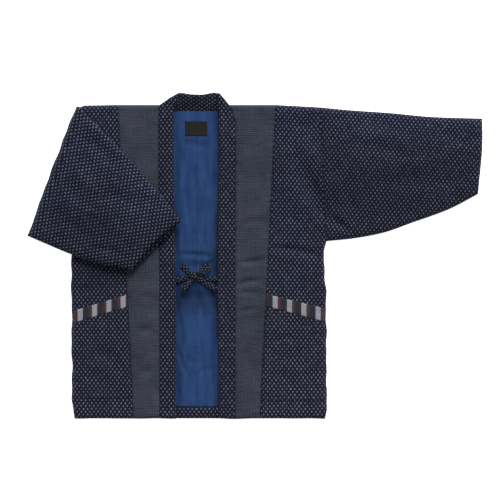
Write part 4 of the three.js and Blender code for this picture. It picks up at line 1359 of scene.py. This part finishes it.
@dataclass
class Collar:
    """The two bands down the front edges, and the nape seen from its inner side."""

    finishes: Finishes
    cell: float = 3.0
    free_roll: Rounding = Rounding(9.0, 0.8)

    def build(self) -> None:
        """Builds the bands and the nape."""
        for side in Side:
            self.build_band(side)
        self.build_nape()

    def build_band(self, side: Side) -> None:
        """Builds a band: a soft roll at its free inner edge and a sewn valley at its outer one."""
        table = np.array(COLLAR_ROWS[side], float)
        run = run_along(table[:, 2:])
        length = run[-1]
        rows = between_rows(spaced(length, self.cell, 0.3, 12.0), run, table)
        plan = ruled_plan(rows[:, :2], rows[:, 2:], spaced_shares(COLLAR_WIDTH, 1.9, 0.45, 8.0))
        plan[0, :, 1] += wavy_hem(plan[0, :, 0])
        far = edge_distances(plan)
        y = plan[..., 1]
        width = far["first"][:, -1:]
        tight = np.minimum(1.0, width / COLLAR_WIDTH)
        ends = share_of_thickness(far, {"start": HEM_EDGE, "end": HEM_EDGE})
        rounded = self.free_roll.left(far["first"] / tight) * SEAM_EDGE.left(far["last"] / tight) * ends
        rounded = np.maximum(rounded, THINNEST)
        swell = 0.4 * relief(plan, []) + 0.7 * np.sin(math.pi * np.clip(far["first"] / width, 0, 1))
        top = FRONT_BOTTOM + (COLLAR_THICKNESS + swell) * rounded
        top = top + seam_marks(far["last"], y, 41 + side.value)
        top = top + pucker(far["first"], y, 0.22, seed=45 + side.value, spread=14)
        cloth, flat = self.finishes.dotted["body"], (46, length + 4)
        lay(f"collar_band_{side.word}", f"collar_{side.word}", cloth, plan, top, FRONT_BOTTOM)

    def build_nape(self) -> None:
        """Builds the nape part, which stands up a little towards its upper edge."""
        rows = curve_at(np.array(NAPE_SECTIONS, float), np.linspace(0, 1, 70))
        plan = ruled_plan(rows[:, :2], rows[:, 2:], spaced_shares(44.0, 1.8, 0.4, 8.0))
        far = edge_distances(plan)
        x, y = xy(plan)
        roll = share_of_thickness(far, {"last": Rounding(10, 0.8)})
        rise = far["first"] / (far["first"] + far["last"])
        wrinkle = 0.6 * waves(x, y * 0.4, 26, seed=101) * smoothstep(0, 10, far["last"])
        top = 5.5 + 16.5 * rise + wrinkle - 5.5 * (1 - roll)
        bottom = 6.0 * rise + 4.0 * (1 - roll)
        lay("collar_nape_cloth", "collar_nape", self.finishes.dotted["nape"], plan, top, bottom)


def ring_shares(stations: Array, width: Array, inset: float = 0.0) -> Array:
    """Shares across a flattened sleeve, there and back, for each station along it.

    Args:
        stations: shares across the sleeve, rising from 0 to 1.
        width: the sleeve's width at each station along it.
        inset: how far the ring stays in from both edges, in millimetres.

    Returns:
        Stations along by ring points: the lower side from the top fold to the underarm, then the upper one.
    """
    ring = np.concatenate([stations, stations[::-1]])
    margin = (inset / width)[:, None]
    return margin + ring[None, :] * (1 - 2 * margin)


def outer_heights(shares: Array, width: Array, thickness: float, lip: Array, rounding: Rounding) -> Array:
    """Heights through a flattened sleeve's thickness of its outer ring.

    The half thickness follows wall / 2 + (half lip - wall / 2) crown(d), with d the distance from the nearer
    edge and the wall at the very edge the rounding's share, in millimetres.

    Args:
        shares: shares across the sleeve, from ring_shares.
        width: the sleeve's width at each station.
        thickness: the whole thickness of the pressed tube.
        lip: the share of the half thickness at each station.
        rounding: how far in from an edge the rounding goes, and the wall that is left at it.

    Returns:
        The heights, from 0 to thickness.
    """
    half = 0.5 * thickness
    d = np.minimum(shares, 1 - shares) * width[:, None]
    rise = rounding.share / 2 + (half * lip[:, None] - rounding.share / 2) * crown(d, rounding.reach)
    count = shares.shape[1] // 2
    return half + np.where(np.arange(2 * count)[None, :] < count, -rise, rise)


def inner_heights(shares: Array, thickness: float) -> Array:
    """Heights of the two inner walls, which lie on each other with a thin slit between them."""
    count = shares.shape[1] // 2
    gap = np.where(np.arange(2 * count) < count, -0.5 * SLIT, 0.5 * SLIT)
    return np.broadcast_to(0.5 * thickness + gap, shares.shape)


def tube(name: str, outside: Array, inside: Array, outside_uv: Array, inside_uv: Array) -> bpy.types.Object:
    """Makes a sleeve with an outer and an inner wall that meet at the cuff, both closed at the armhole.

    Args:
        name: the object's name.
        outside: stations by ring points by x, y and z, from the armhole to the cuff.
        inside: further rings, from the cuff back to the armhole.
        outside_uv: the place on the cloth of each outer point.
        inside_uv: the place on the cloth of each inner point.

    Returns:
        The object.
    """
    rings = np.concatenate([outside, inside])
    rows, count = rings.shape[:2]
    points = rings.reshape(-1, 3)
    k = np.arange(count // 2 - 1)
    cap = np.stack([k, k + 1, count - 2 - k, count - 1 - k], axis=-1)
    faces = np.vstack([grid_faces(rows, count, closed=True), cap[:, ::-1], cap + (rows - 1) * count])
    places = np.concatenate([outside_uv, inside_uv]).reshape(-1, 2)
    return make_object(name, points, outward(points, faces), places)


def turned(place: Array, degrees: float) -> Array:
    """Turns places by an angle and gives them in metres."""
    sine, cosine = math.sin(math.radians(degrees)), math.cos(math.radians(degrees))
    x, y = xy(place)
    return np.dstack([x * cosine - y * sine, x * sine + y * cosine]) * MM


@dataclass
class PressedSleeve:
    """What both sleeves share: a wadded tube that is pressed flat, with its cuff's mouth a thin slit."""

    finishes: Finishes
    thickness: float = 20.4
    rounding: Rounding = Rounding(13.0, 1.5)
    cuff_reach: float = 10.0
    cuff_lip: float = 3.0
    cell: float = 3.2

    def lip(self, from_cuff: Array) -> Array:
        """The share of the half thickness at each distance from the cuff."""
        least = 2 * self.cuff_lip / self.thickness
        return least + (1 - least) * crown(from_cuff, self.cuff_reach)


@dataclass
class LaidSleeve(PressedSleeve):
    """The sleeve that lies out to the right."""

    # How far the cuff's edge bows out in its upper half.
    cuff_bulge: float = 4.2
    armhole_reach: float = 12.0
    # How far from the armhole the slit between the inner walls begins.
    slit_start: float = 12.0
    # Half way round the sleeve at the armhole, as it is cut.
    cut_width: float = 333.0
    dot_turn: float = 4.2
    top_fold: Line = ((308.3, -4.4), (384, -11.6), (484, -18.6), (584, -28), (713.5, -32.5))
    underarm: Line = ((324.05, -339), (393, -332), (470, -317), (535, -294), (631, -259), (703.7, -221))

    def build(self) -> None:
        """Builds the sleeve."""
        top_curve = catmull_rom(self.top_fold)
        low_curve = catmull_rom(self.underarm)
        length = run_along(top_curve)[-1]
        across = spaced_shares(300.0, self.cell, 0.25, 14.0)

        def pressed_plan(share: Array, inset: float) -> tuple[Array, Array, Array]:
            """The shares across, widths and plan of the rings at shares along, with the cuff bowed out."""
            top, low = curve_at(top_curve, share), curve_at(low_curve, share)
            width = np.linalg.norm(top - low, axis=1)
            shares = ring_shares(across, width, inset)
            plan = top[:, None, :] + shares[..., None] * (low - top)[:, None, :]
            plan[..., 0] += self.cuff_bulge * share[:, None] ** 6 * np.sin(math.pi * shares**0.75) ** 1.5
            return shares, width, plan

        run = spaced(length, self.cell, 0.3, 13.0)
        shares, width, plan = pressed_plan(run / length, 0.0)
        from_cuff = length - run
        x, y = xy(plan)
        edge = np.minimum(shares, 1 - shares) * width[:, None]
        inner = crown(edge, 26.0) * crown(from_cuff, 20.0)[:, None]
        bump = relief(plan, FRONT_FOLDS) * inner * smoothstep(0, 4, run)[:, None]
        bump = bump + 9.0 * np.sin(math.pi * shares**0.8) * smoothstep(0, 120, run)[:, None] * inner
        bump = bump + self.armhole_marks(run[:, None] + 0 * x, y)
        bump = bump + pucker((1 - shares) * width[:, None], x, 0.5, seed=121, spread=12)
        bump = bump + pucker(from_cuff[:, None] + 0 * x, y, 0.3, seed=122)
        height = outer_heights(shares, width, self.thickness, self.lip(from_cuff), self.rounding)
        upper = np.arange(shares.shape[1]) >= across.size
        outside = np.dstack([plan, height + np.where(upper, bump, 0.0)])
        shares, _, slit_plan = pressed_plan(np.linspace(length, self.slit_start, 34) / length, SLIT_INSET)
        inside = np.dstack([slit_plan, inner_heights(shares, self.thickness)])

        walls = np.split(outside, 2, axis=1)
        cloth = np.concatenate([cloth_on(wall[..., :2], wall[..., 2]) for wall in walls], axis=1)
        places = (turned(part, self.dot_turn) for part in (cloth, slit_plan))
        piece = tube("sleeve_laid_out", outside, inside, *places)
        dress(piece, self.finishes.dotted["sleeve"], "sleeve_right")

    def armhole_marks(self, distance: Array, along: Array) -> Array:
        """The valley at the armhole seam and the puckers beside it."""
        return seam_marks(distance, along, 62, depth=1.2) - 2.0 * (1 - crown(distance, self.armhole_reach))


@dataclass
class FoldedSleeve(PressedSleeve):
    """The sleeve folded over the front: out to the crease, over, and back across the body.

    A point is placed by its share q across from the top fold to the underarm, its height h through the
    thickness, and its station in one of three runs: under, turn or over.
    """

    thickness: float = 17.0
    lip_inset: float = 9.0
    # Half way round the sleeve at the armhole and its length, as it is cut, and the area of one wall.
    cut_width: float = 338.0
    cut_length: float = 430.0
    wall_area: float = 0.106
    dot_turn: float = 45.4
    armhole: Line = ((-283.6, -2), (-314.4, -337))
    crease: Line = ((-300.3, -2.4), (-422, -326))
    # How far the crease bows out between its ends.
    crease_bow: float = 2.2
    upper_edge: Line = ((-300.3, -2.4), (-240, -60), (-185, -114), (-110, -200), (-36.5, -287.5))
    lower_edge: Line = ((-422, -326), (-314, -371), (-245, -395), (-195, -404), (-160.5, -413))
    # How much the part across the front is lifted by what it lies on, by x.
    lift_x: tuple[float, ...] = (-345, -314, -110, -92, -40)
    lift_by: tuple[float, ...] = (0, 4.2, 4.6, 6, 6)
    # The corner at the shoulder, which the top fold is lifted into.
    corner_x: float = -287.0
    corner_width: float = 12.0
    corner_rise: float = 1.6
    corner_fade: float = 14.0

    def __post_init__(self) -> None:
        """Works out the lines and curves that the shape hangs on."""
        self.half = 0.5 * self.thickness
        self.axis_height = self.thickness + GAP
        self.arm_top, self.arm_low = (np.array(p, float) for p in self.armhole)
        self.crease_top, self.crease_low = (np.array(p, float) for p in self.crease)
        self.arm_width = float(np.linalg.norm(self.arm_low - self.arm_top))
        self.crease_width = float(np.linalg.norm(self.crease_low - self.crease_top))
        self.down = (self.crease_low - self.crease_top) / self.crease_width
        self.inward = np.array([-self.down[1], self.down[0]])
        self.upper_curve = catmull_rom(self.upper_edge)
        self.lower_curve = catmull_rom(self.lower_edge)
        self.length = run_along(self.upper_curve)[-1]
        self.turn_length = math.pi * self.axis_height

    def lift(self, x: Array) -> Array:
        """The height that the sleeve clears at each x."""
        return np.interp(x, self.lift_x, self.lift_by)

    def axis_inset(self, q: Array) -> Array:
        """How far in from the crease the axis of the turn lies, less near the two edges."""
        wall = 0.5 * self.rounding.share
        edge = crown(np.minimum(q, 1 - q) * self.crease_width, self.rounding.reach)
        return self.axis_height - (self.half - (wall + (self.half - wall) * edge))

    def axis_point(self, q: Array) -> Array:
        """The plan place of the turn's axis at each share across."""
        on_crease = self.crease_top + q[..., None] * (self.crease_low - self.crease_top)
        inset = self.axis_inset(q) - self.crease_bow * np.sin(math.pi * q)
        return on_crease + inset[..., None] * self.inward

    def fill_corner(self, plan: Array, q: Array) -> Array:
        """Lifts the top fold to the shoulder line: y + rise exp(-((x - corner) / w)^2) exp(-q W / fade)."""
        near = np.exp(-(((plan[..., 0] - self.corner_x) / self.corner_width) ** 2))
        bump = self.corner_rise * near * np.exp(-q * self.crease_width / self.corner_fade)
        return np.dstack([plan[..., 0], plan[..., 1] + bump])

    def under(self, at: Array, q: Array, h: Array) -> tuple[Array, Array]:
        """Points of the run from the armhole out to the crease.

        Args:
            at: shares of the run.
            q: shares across.
            h: heights through the thickness.

        Returns:
            The points and their cloth places.
        """
        start = self.arm_top + q[..., None] * (self.arm_low - self.arm_top)
        reach = self.axis_point(q) - start
        plan = start + at[:, None, None] * reach
        run = np.linalg.norm(reach, axis=2) * (at[:, None] - 1) - self.turn_length + self.axis_inset(q)
        return np.dstack([self.fill_corner(plan, q), h]), np.dstack([run, q * self.crease_width])

    def turn(self, angle: Array, q: Array, h: Array) -> tuple[Array, Array]:
        """Points of the half turn round the crease.

        Args:
            angle: angles from -90 to 90 degrees, in radians.
            q: shares across.
            h: heights through the thickness, which are distances from the outer side of the turn.

        Returns:
            The points and their cloth places.
        """
        sine, cosine = np.sin(angle)[:, None], np.cos(angle)[:, None]
        crumple = 0.5 * waves(q * 330, angle[:, None] * 20, 60, seed=131)
        out = (self.axis_height - h + np.where(h < self.half - SLIT, crumple, 0)) * cosine
        plan = self.axis_point(q) - out[..., None] * self.inward
        z = self.axis_height + (self.axis_height - h) * sine + self.lift(plan[..., 0]) * (1 + sine) / 2
        run = (angle / math.pi - 0.5)[:, None] * self.turn_length + self.axis_inset(q)
        return np.dstack([self.fill_corner(plan, q), z]), np.dstack([run, q * self.crease_width])

    def over(self, at: Array, q: Array, h: Array, bump: bool) -> tuple[Array, Array]:
        """Points of the run across the body.

        Args:
            at: shares of the run, from the crease to the cuff.
            q: shares across.
            h: heights through the thickness; the small ones face up here.
            bump: whether the upper side gets its folds and puckers.

        Returns:
            The points, and their places in the sleeve's own directions.
        """
        top, low = curve_at(self.upper_curve, at), curve_at(self.lower_curve, at)
        width = np.linalg.norm(top - low, axis=1)[:, None]
        plan = top[:, None, :] + q[..., None] * (low - top)[:, None, :]
        up = h < self.half
        inset = self.lip_inset * at[:, None] ** 6 * np.sin(math.pi * q)
        start = self.axis_inset(q) - self.crease_bow * np.sin(math.pi * q)
        shift = start * np.maximum(0.0, 1 - 3 * at)[:, None] - np.where(up, inset, 0.0)
        plan = plan + shift[..., None] * self.inward
        z = 2 * self.axis_height - h + self.lift(plan[..., 0])
        if bump:
            edge = np.minimum(q, 1 - q) * width
            from_cuff = (1 - at)[:, None] * self.length + 0 * q
            soft = crown(edge, 26.0) * crown(from_cuff, 20.0) * smoothstep(0, 40, at * self.length)[:, None]
            marks = relief(plan, FOLDED_SLEEVE_FOLDS) * soft
            marks = marks + 6.5 * np.sin(math.pi * q**0.8) * soft
            along = at[:, None] * self.length + 0 * q
            marks = marks + pucker((1 - q) * width, along, 0.7, seed=141, spread=13)
            marks = marks + pucker(from_cuff, q * width, 0.35, seed=142)
            z = z + np.where(up, marks, 0.0)
        return np.dstack([self.fill_corner(plan, q), z]), plan

    def edge_excess(self, rings: Array) -> Array:
        """How far the cloth place moves on, in metres, because the surface curves down at the two edges."""
        lower, upper = (surface_excess(wall[..., :2], wall[..., 2], 1) for wall in np.split(rings, 2, axis=1))
        down = turned(self.down[None, None, :], self.dot_turn)
        return np.concatenate([lower, -upper], axis=1)[..., None] * down

    def on_cloth(self, place: Array) -> Array:
        """The turned cloth place of a point in the sleeve's own directions, before the crease."""
        plan = self.crease_top + place[..., :1] * self.inward + place[..., 1:] * self.down
        return turned(plan, self.dot_turn)

    def wall(self, outer: bool, across: Array) -> tuple[Array, Array]:
        """Rings of the outer wall from the armhole to the cuff, or of the inner one back again.

        Args:
            outer: which wall.
            across: shares across.

        Returns:
            The rings and their places on the cloth.
        """
        under_at = np.linspace(0, 1, 14)[:-1] if outer else np.linspace(0.15, 1, 6)[:-1]
        angle = np.radians(np.linspace(-90, 90, 25 if outer else 13))[:-1]
        over_at = spaced(self.length, self.cell, 0.3, 13.0) / self.length if outer else np.linspace(0, 1, 26)
        inset = 0.0 if outer else SLIT_INSET

        def rings_of(width: Array, lip: Array) -> tuple[Array, Array]:
            """The shares across and the heights of this wall's rings."""
            q = ring_shares(across, width, inset)
            if outer:
                return q, outer_heights(q, width, self.thickness, lip, self.rounding)
            return q, inner_heights(q, self.thickness)

        width = self.arm_width + under_at * (self.crease_width - self.arm_width)
        first, first_place = self.under(under_at, *rings_of(width, np.ones_like(width)))
        width = np.full_like(angle, self.crease_width)
        second, second_place = self.turn(angle, *rings_of(width, np.ones_like(width)))
        between = curve_at(self.upper_curve, over_at) - curve_at(self.lower_curve, over_at)
        width = np.linalg.norm(between, axis=1)
        lip = self.lip((1 - over_at) * self.length)
        third, third_plan = self.over(over_at, *rings_of(width, lip), outer)
        rings = np.concatenate([first, second, third])
        before_crease = self.on_cloth(np.concatenate([first_place, second_place]))
        cloth = np.concatenate([before_crease, turned(third_plan, self.dot_turn)])
        if outer:
            cloth = cloth + self.edge_excess(rings)
        return (rings, cloth) if outer else (rings[::-1], cloth[::-1])

    def build(self) -> None:
        """Builds the sleeve as one tube."""
        across = spaced_shares(330.0, self.cell, 0.25, 14.0)
        outside, outside_uv = self.wall(True, across)
        inside, inside_uv = self.wall(False, across)
        piece = tube("sleeve_folded", outside, inside, outside_uv, inside_uv)
        dress(piece, self.finishes.dotted["folded_sleeve"], "sleeve_left")


@dataclass(frozen=True)
class TieEnd:
    """A tie from the knot: where it ends in the plan and its heights at the knot and at the end."""

    name: str
    x: float
    y: float
    height_at_knot: float
    height_at_end: float
    sway: float


@dataclass(frozen=True)
class Loop:
    """A loop of the bow: its length from the knot, and the directions of its lower and upper band."""

    name: str
    length: float
    low_angle: float
    high_angle: float


@dataclass
class Bow:
    """The ties: two straps from the collar to a knot, with two loops and two tails."""

    finishes: Finishes
    x: float = -6.0
    y: float = -425.5
    z: float = 20.2
    radius_x: float = 13.4
    radius_y: float = 10.6
    radius_z: float = 8.2
    # The direction across the band that wraps the knot, in degrees.
    band_angle: float = 55.0
    width: float = 11.5
    thickness: float = 3.0
    loop_rise: float = 6.4
    arm_height: float = 18.4
    # Where the ties begin inside the knot, as a share of its radius.
    inside_knot: float = 0.86

    def build(self) -> None:
        """Builds the ties, the loops and the knot."""
        ends = [
            TieEnd("tie_strap_left", -50.4, -437, 15.6, 12.8, 1.2),
            TieEnd("tie_strap_right", 50.9, -433.5, 15.6, 12.8, -2.4),
            TieEnd("tie_tail_upper", -37, -396, 18.4, 15.4, 1.6),
            TieEnd("tie_tail_lower", 48, -459, 18.4, 15.8, -1.0),
        ]
        for end in ends:
            self.build_tie(end)
        for loop in (Loop("tie_loop_upper", 47, 40, 27), Loop("tie_loop_lower", 45.5, 228, 235)):
            self.build_loop(loop)
        self.build_knot()

    def build_ribbon(self, node: str, path: Array, sides: Array, widths: Array) -> None:
        """Sweeps a flattened tube of cloth along a path.

        The section is a superellipse with exponent 3, width by thickness, with two faint lengthwise creases.

        Args:
            node: the node that it replaces.
            path: points of the centre line in millimetres.
            sides: the direction of the width at each point.
            widths: the width at each point.
        """
        name = f"{node}_cloth"
        tangent = np.gradient(path, axis=0)
        tangent /= np.linalg.norm(tangent, axis=1)[:, None]
        normal = np.cross(tangent, sides)
        normal /= np.linalg.norm(normal, axis=1)[:, None]
        around = np.linspace(0, math.tau, 25)[:-1]
        c, s = np.cos(around), np.sin(around)
        flat = np.sign(c) * np.abs(c) ** (2 / 3)
        tall = np.sign(s) * np.abs(s) ** (2 / 3)
        tall = tall * (1 - 0.12 * np.cos(2 * math.pi * flat) * (np.abs(flat) < 0.8))
        run = run_along(path)
        crumple = 1 + 0.1 * waves(run, 0 * run, 9, seed=len(name), count=5)
        out = flat[None, :, None] * (0.5 * widths)[:, None, None] * sides[:, None, :]
        up = (tall[None, :] * (0.5 * self.thickness * crumple)[:, None])[..., None] * normal[:, None, :]
        rings = path[:, None, :] + out + up
        uv = np.dstack(np.meshgrid(flat * self.width * 0.5, run))
        poles = np.array([[0, 0], [0, run[-1]]])
        piece = self.closed(name, rings, path[[0, -1]], np.vstack([uv.reshape(-1, 2), poles]) * MM)
        dress(piece, self.finishes.dotted["tie"], node)

    def closed(self, name: str, rings: Array, poles: Array, places: Array) -> bpy.types.Object:
        """Makes a closed shape from rings and a pole at both ends.

        Args:
            name: the object's name.
            rings: rings by points by x, y and z.
            poles: the point before the first ring and the point after the last.
            places: the place on the cloth of each point, with the poles last.

        Returns:
            The object.
        """
        rows, count = rings.shape[:2]
        points = np.vstack([rings.reshape(-1, 3), poles])
        near = fan_faces(np.arange(count), rows * count)
        far = fan_faces(np.arange(count)[::-1] + (rows - 1) * count, rows * count + 1)
        faces = np.vstack([grid_faces(rows, count, closed=True), near, far])
        return make_object(name, points, outward(points, faces), places)

    def on_knot(self, angle: Array) -> Array:
        """The plan place on the knot's outline in a direction."""
        reach = self.inside_knot * np.array([self.radius_x, self.radius_y])
        return np.stack([np.cos(angle), np.sin(angle)], axis=-1) * reach + [self.x, self.y]

    def build_tie(self, tie: TieEnd) -> None:
        """Builds a strap or a tail, which narrows as it goes into the knot."""
        angle = math.atan2(tie.y - self.y, tie.x - self.x)
        start = self.on_knot(np.array(angle))
        t = np.linspace(0, 1, 40)
        side = np.array([-math.sin(angle), math.cos(angle)])
        sway = tie.sway * np.sin(math.pi * t)[:, None] * side
        plan = start + t[:, None] * (np.array([tie.x, tie.y]) - start) + sway
        z = tie.height_at_knot + smoothstep(0, 1, t) * (tie.height_at_end - tie.height_at_knot)
        path = np.column_stack([plan, z])
        sides = np.column_stack([np.broadcast_to(side, (40, 2)), np.zeros(40)])
        widths = self.width * (0.78 + 0.22 * smoothstep(0, 0.3, t))
        self.build_ribbon(tie.name, path, sides, widths)

    def build_loop(self, loop: Loop) -> None:
        """Builds a loop: out along one direction, round its end, and back a little to one side and above."""
        t = np.linspace(0, 1, 90)
        out = np.clip(t / 0.4, 0, 1)
        back = np.clip((t - 0.6) / 0.4, 0, 1)
        bend = np.clip((t - 0.4) / 0.2, 0, 1)
        degrees = loop.low_angle + smoothstep(0.3, 0.7, t) * (loop.high_angle - loop.low_angle)
        angle = np.radians(degrees)
        rise = 0.5 * self.loop_rise
        base = np.linalg.norm(self.on_knot(angle) - [self.x, self.y], axis=1)
        reach = base + (loop.length - rise - base) * np.where(t < 0.5, out, 1 - back)
        swing = math.pi * (bend - 0.5)
        reach = reach + rise * np.cos(swing) * ((t > 0.4) & (t < 0.6))
        belly = 0.49 * np.sin(math.tau * t)
        pinch = 0.3 + 0.7 * smoothstep(0, 0.3, np.minimum(t, 1 - t) * 2)
        z = self.arm_height + rise * (1 + np.sin(swing) * pinch) - belly
        path = np.column_stack([self.x + np.cos(angle) * reach, self.y + np.sin(angle) * reach, z])
        sides = np.column_stack([-np.sin(angle), np.cos(angle), np.zeros_like(angle)])
        widths = self.width * (0.6 + 0.32 * smoothstep(0, 0.25, np.minimum(t, 1 - t)))
        self.build_ribbon(loop.name, path, sides, widths)

    def build_knot(self) -> None:
        """Builds the knot: a flattened ball of cloth with a band that wraps it on the slant.

        The radius is 0.96 + 0.1 b - 0.13 g + p, where b is a band across the slant, g the grooves at its two
        edges and p the small pleats on it.
        """
        rows, count = 40, 56
        polar = np.linspace(0.02, math.pi - 0.02, rows)[:, None]
        around = np.linspace(0, math.tau, count + 1)[None, :-1]
        nx = np.sin(polar) * np.cos(around)
        ny = np.sin(polar) * np.sin(around)
        nz = np.broadcast_to(np.cos(polar), nx.shape)
        lean = math.radians(self.band_angle)
        slant = nx * math.cos(lean) + ny * math.sin(lean)
        band = smoothstep(0.62, 0.5, np.abs(slant))
        groove = np.exp(-(((np.abs(slant) - 0.6) / 0.09) ** 2))
        pleats = 0.035 * np.sin(slant * 17 + 2.2 * nz) * band
        size = 1 + 0.1 * band - 0.13 * groove + pleats - 0.04
        shape = np.dstack([nx * self.radius_x, ny * self.radius_y, nz * self.radius_z]) * size[..., None]
        shape = shape + np.array([self.x, self.y, self.z])
        poles = shape[[0, -1]].mean(axis=1)
        points = np.vstack([shape.reshape(-1, 3), poles])
        piece = self.closed("tie_knot_cloth", shape, poles, (points[:, :2] + points[:, 2:] * 0.5) * MM)
        dress(piece, self.finishes.dotted["tie"], "tie_knot")


def sewn_row(name: str, centres: Array, ways: Array, length: float, thick: float) -> bpy.types.Object:
    """Makes a row of stitches, each a short six-sided capsule of thread that lies on the cloth.

    Args:
        name: the object's name.
        centres: the middle of each stitch in millimetres.
        ways: the direction of each stitch in the plan.
        length: a stitch's length in millimetres.
        thick: the thread's thickness in millimetres.

    Returns:
        The object.
    """
    around = np.linspace(0, math.tau, 7)[:-1]
    ring = np.column_stack([np.zeros(6), np.cos(around), np.sin(around)])
    shape = np.vstack([[(-1, 0, 0)], ring - (0.72, 0, 0), ring + (0.72, 0, 0), [(1, 0, 0)]])
    rim = np.arange(6) + 1
    faces = np.vstack([fan_faces(rim, 0), grid_faces(2, 6, 1, closed=True), fan_faces(rim[::-1] + 6, 13)])
    along = np.column_stack([ways, np.zeros(len(ways))])
    across = np.column_stack([-ways[:, 1], ways[:, 0], np.zeros(len(ways))])
    points = centres[:, None, :] + shape[None, :, :1] * 0.5 * length * along[:, None, :]
    points = points + shape[None, :, 1:2] * 0.5 * thick * across[:, None, :]
    points[..., 2] += shape[None, :, 2] * 0.5 * thick
    points = points.reshape(-1, 3)
    faces = (faces[None] + 14 * np.arange(len(centres))[:, None, None]).reshape(-1, 4)
    return make_object(name, points, outward(points, faces), points[:, :2] * MM)


@dataclass
class Label:
    """The label sewn inside the nape, left bare."""

    finishes: Finishes
    panels: BodyPanels
    left: float = -28.5
    right: float = 26.5
    top: float = -39.0
    bottom: float = -76.0
    # Real thread is 0.4 mm thick. It is drawn a little thicker, so that the stitches show.
    thread: float = 0.6
    stitch: float = 2.9
    seam_inset: float = 1.9
    # How high the stitches' middles stand on the lining, over the gap.
    on_lining: float = 0.86

    def build(self) -> None:
        """Builds the label on the lining's own height, with corners that curl a little."""
        across, down = np.linspace(self.left, self.right, 34), np.linspace(self.top, self.bottom, 24)
        plan = np.dstack(np.meshgrid(across, down))
        base = self.panels.lining_height(plan)
        far = edge_distances(plan)
        top = base + GAP + 0.35 + 0.45 * crown(np.minimum.reduce(list(far.values())), 1.5)
        lay("label_cloth", "label", self.finishes.label, plan, top, base + 0.15)
        self.build_stitches()

    def build_stitches(self) -> None:
        """Sews the label down with a row of stitches just inside its four edges."""
        left, right = self.left + self.seam_inset, self.right - self.seam_inset
        top, bottom = self.top - self.seam_inset, self.bottom + self.seam_inset
        corners = np.array([(left, top), (right, top), (right, bottom), (left, bottom), (left, top)])
        run = run_along(corners)
        count = int(run[-1] / self.stitch)
        at = (np.arange(count) + 0.5) * run[-1] / count
        centre = between_rows(at, run, corners)
        way = np.diff(corners, axis=0)[np.searchsorted(run, at) - 1]
        way = way / np.linalg.norm(way, axis=1, keepdims=True)
        height = self.panels.lining_height(centre) + GAP + self.on_lining
        centres = np.column_stack([centre, height])
        stitches = sewn_row("label_stitches", centres, way, 0.78 * self.stitch, self.thread)
        dress(stitches, self.finishes.dark_thread)


@dataclass
class Studio:
    """The camera above the jacket, a pale floor and soft light."""

    photo_size: int = 500
    mm_per_pixel: float = 2.5
    lens: float = 200.0
    sensor: float = 36.0
    centre_x: float = 133.5
    centre_y: float = -361.0
    focus_height: float = 9.0

    def build(self) -> None:
        """Builds the floor, lights, world and camera."""
        self.build_camera()
        self.build_floor()
        self.build_light()

    def build_camera(self) -> None:
        """Places the camera straight above, so high that a pixel covers its real size at the cloth."""
        data = bpy.data.cameras.new("overhead_camera")
        data.lens = self.lens
        data.sensor_width = self.sensor
        width = self.photo_size * self.mm_per_pixel
        height = width * self.lens / self.sensor + self.focus_height
        camera = bpy.data.objects.new("overhead_camera", data)
        camera.location = to_frame(np.array([self.centre_x, self.centre_y, height]))
        data.clip_end = 40.0
        bpy.context.scene.collection.objects.link(camera)
        bpy.context.scene.camera = camera

    def build_floor(self) -> None:
        """Makes a wide pale floor with a faint unevenness in its tone."""
        mesh = bpy.data.meshes.new("pale_floor")
        half = 6.0
        corners = [(-half, -half, 0), (half, -half, 0), (half, half, 0), (-half, half, 0)]
        mesh.from_pydata(corners, [], [(0, 1, 2, 3)])
        floor = bpy.data.objects.new("pale_floor", mesh)
        bpy.context.scene.collection.objects.link(floor)
        tree = NodeTree("Matt white paper backdrop")
        grain = tree.add("TexNoise", tree.add("TexCoord", out="Object"), Scale=30.0, Detail=2.0)
        colour = tree.add("Mix", grain, **COLOURS, I6=linear("#fbfbfb"), I7=linear("#fdfdfd"))
        glow = {"Emission_Color": linear("#ffffff"), "Emission_Strength": 0.8}
        mesh.materials.append(tree.finish(colour, 0.95, Specular_IOR_Level=0.1, **glow))

    def build_light(self) -> None:
        """Adds one wide key light from beyond the shoulders and a pale world that fills the shadows."""
        scene = bpy.context.scene
        scene.view_settings.view_transform = "Standard"
        world = bpy.data.worlds.new("pale_room")
        world.use_nodes = True
        background = world.node_tree.nodes["Background"]
        background.inputs[0].default_value = (1.0, 1.0, 1.0, 1.0)
        background.inputs[1].default_value = 0.38
        scene.world = world
        sun = bpy.data.lights.new("key_light", "SUN")
        sun.energy = 3.7
        sun.angle = math.radians(26)
        key = bpy.data.objects.new("key_light", sun)
        key.rotation_euler = (math.radians(-55), 0, math.radians(-9))
        scene.collection.objects.link(key)


def main() -> None:
    """Builds the studio and the jacket, piece by piece."""
    logging.basicConfig(level=logging.INFO, format="%(message)s")
    Studio().build()
    finishes = Finishes()
    panels = BodyPanels(finishes)
    panels.build()
    Collar(finishes).build()
    LaidSleeve(finishes).build()
    FoldedSleeve(finishes).build()
    Label(finishes, panels).build()
    Bow(finishes).build()


if __name__ == "__main__":
    main()
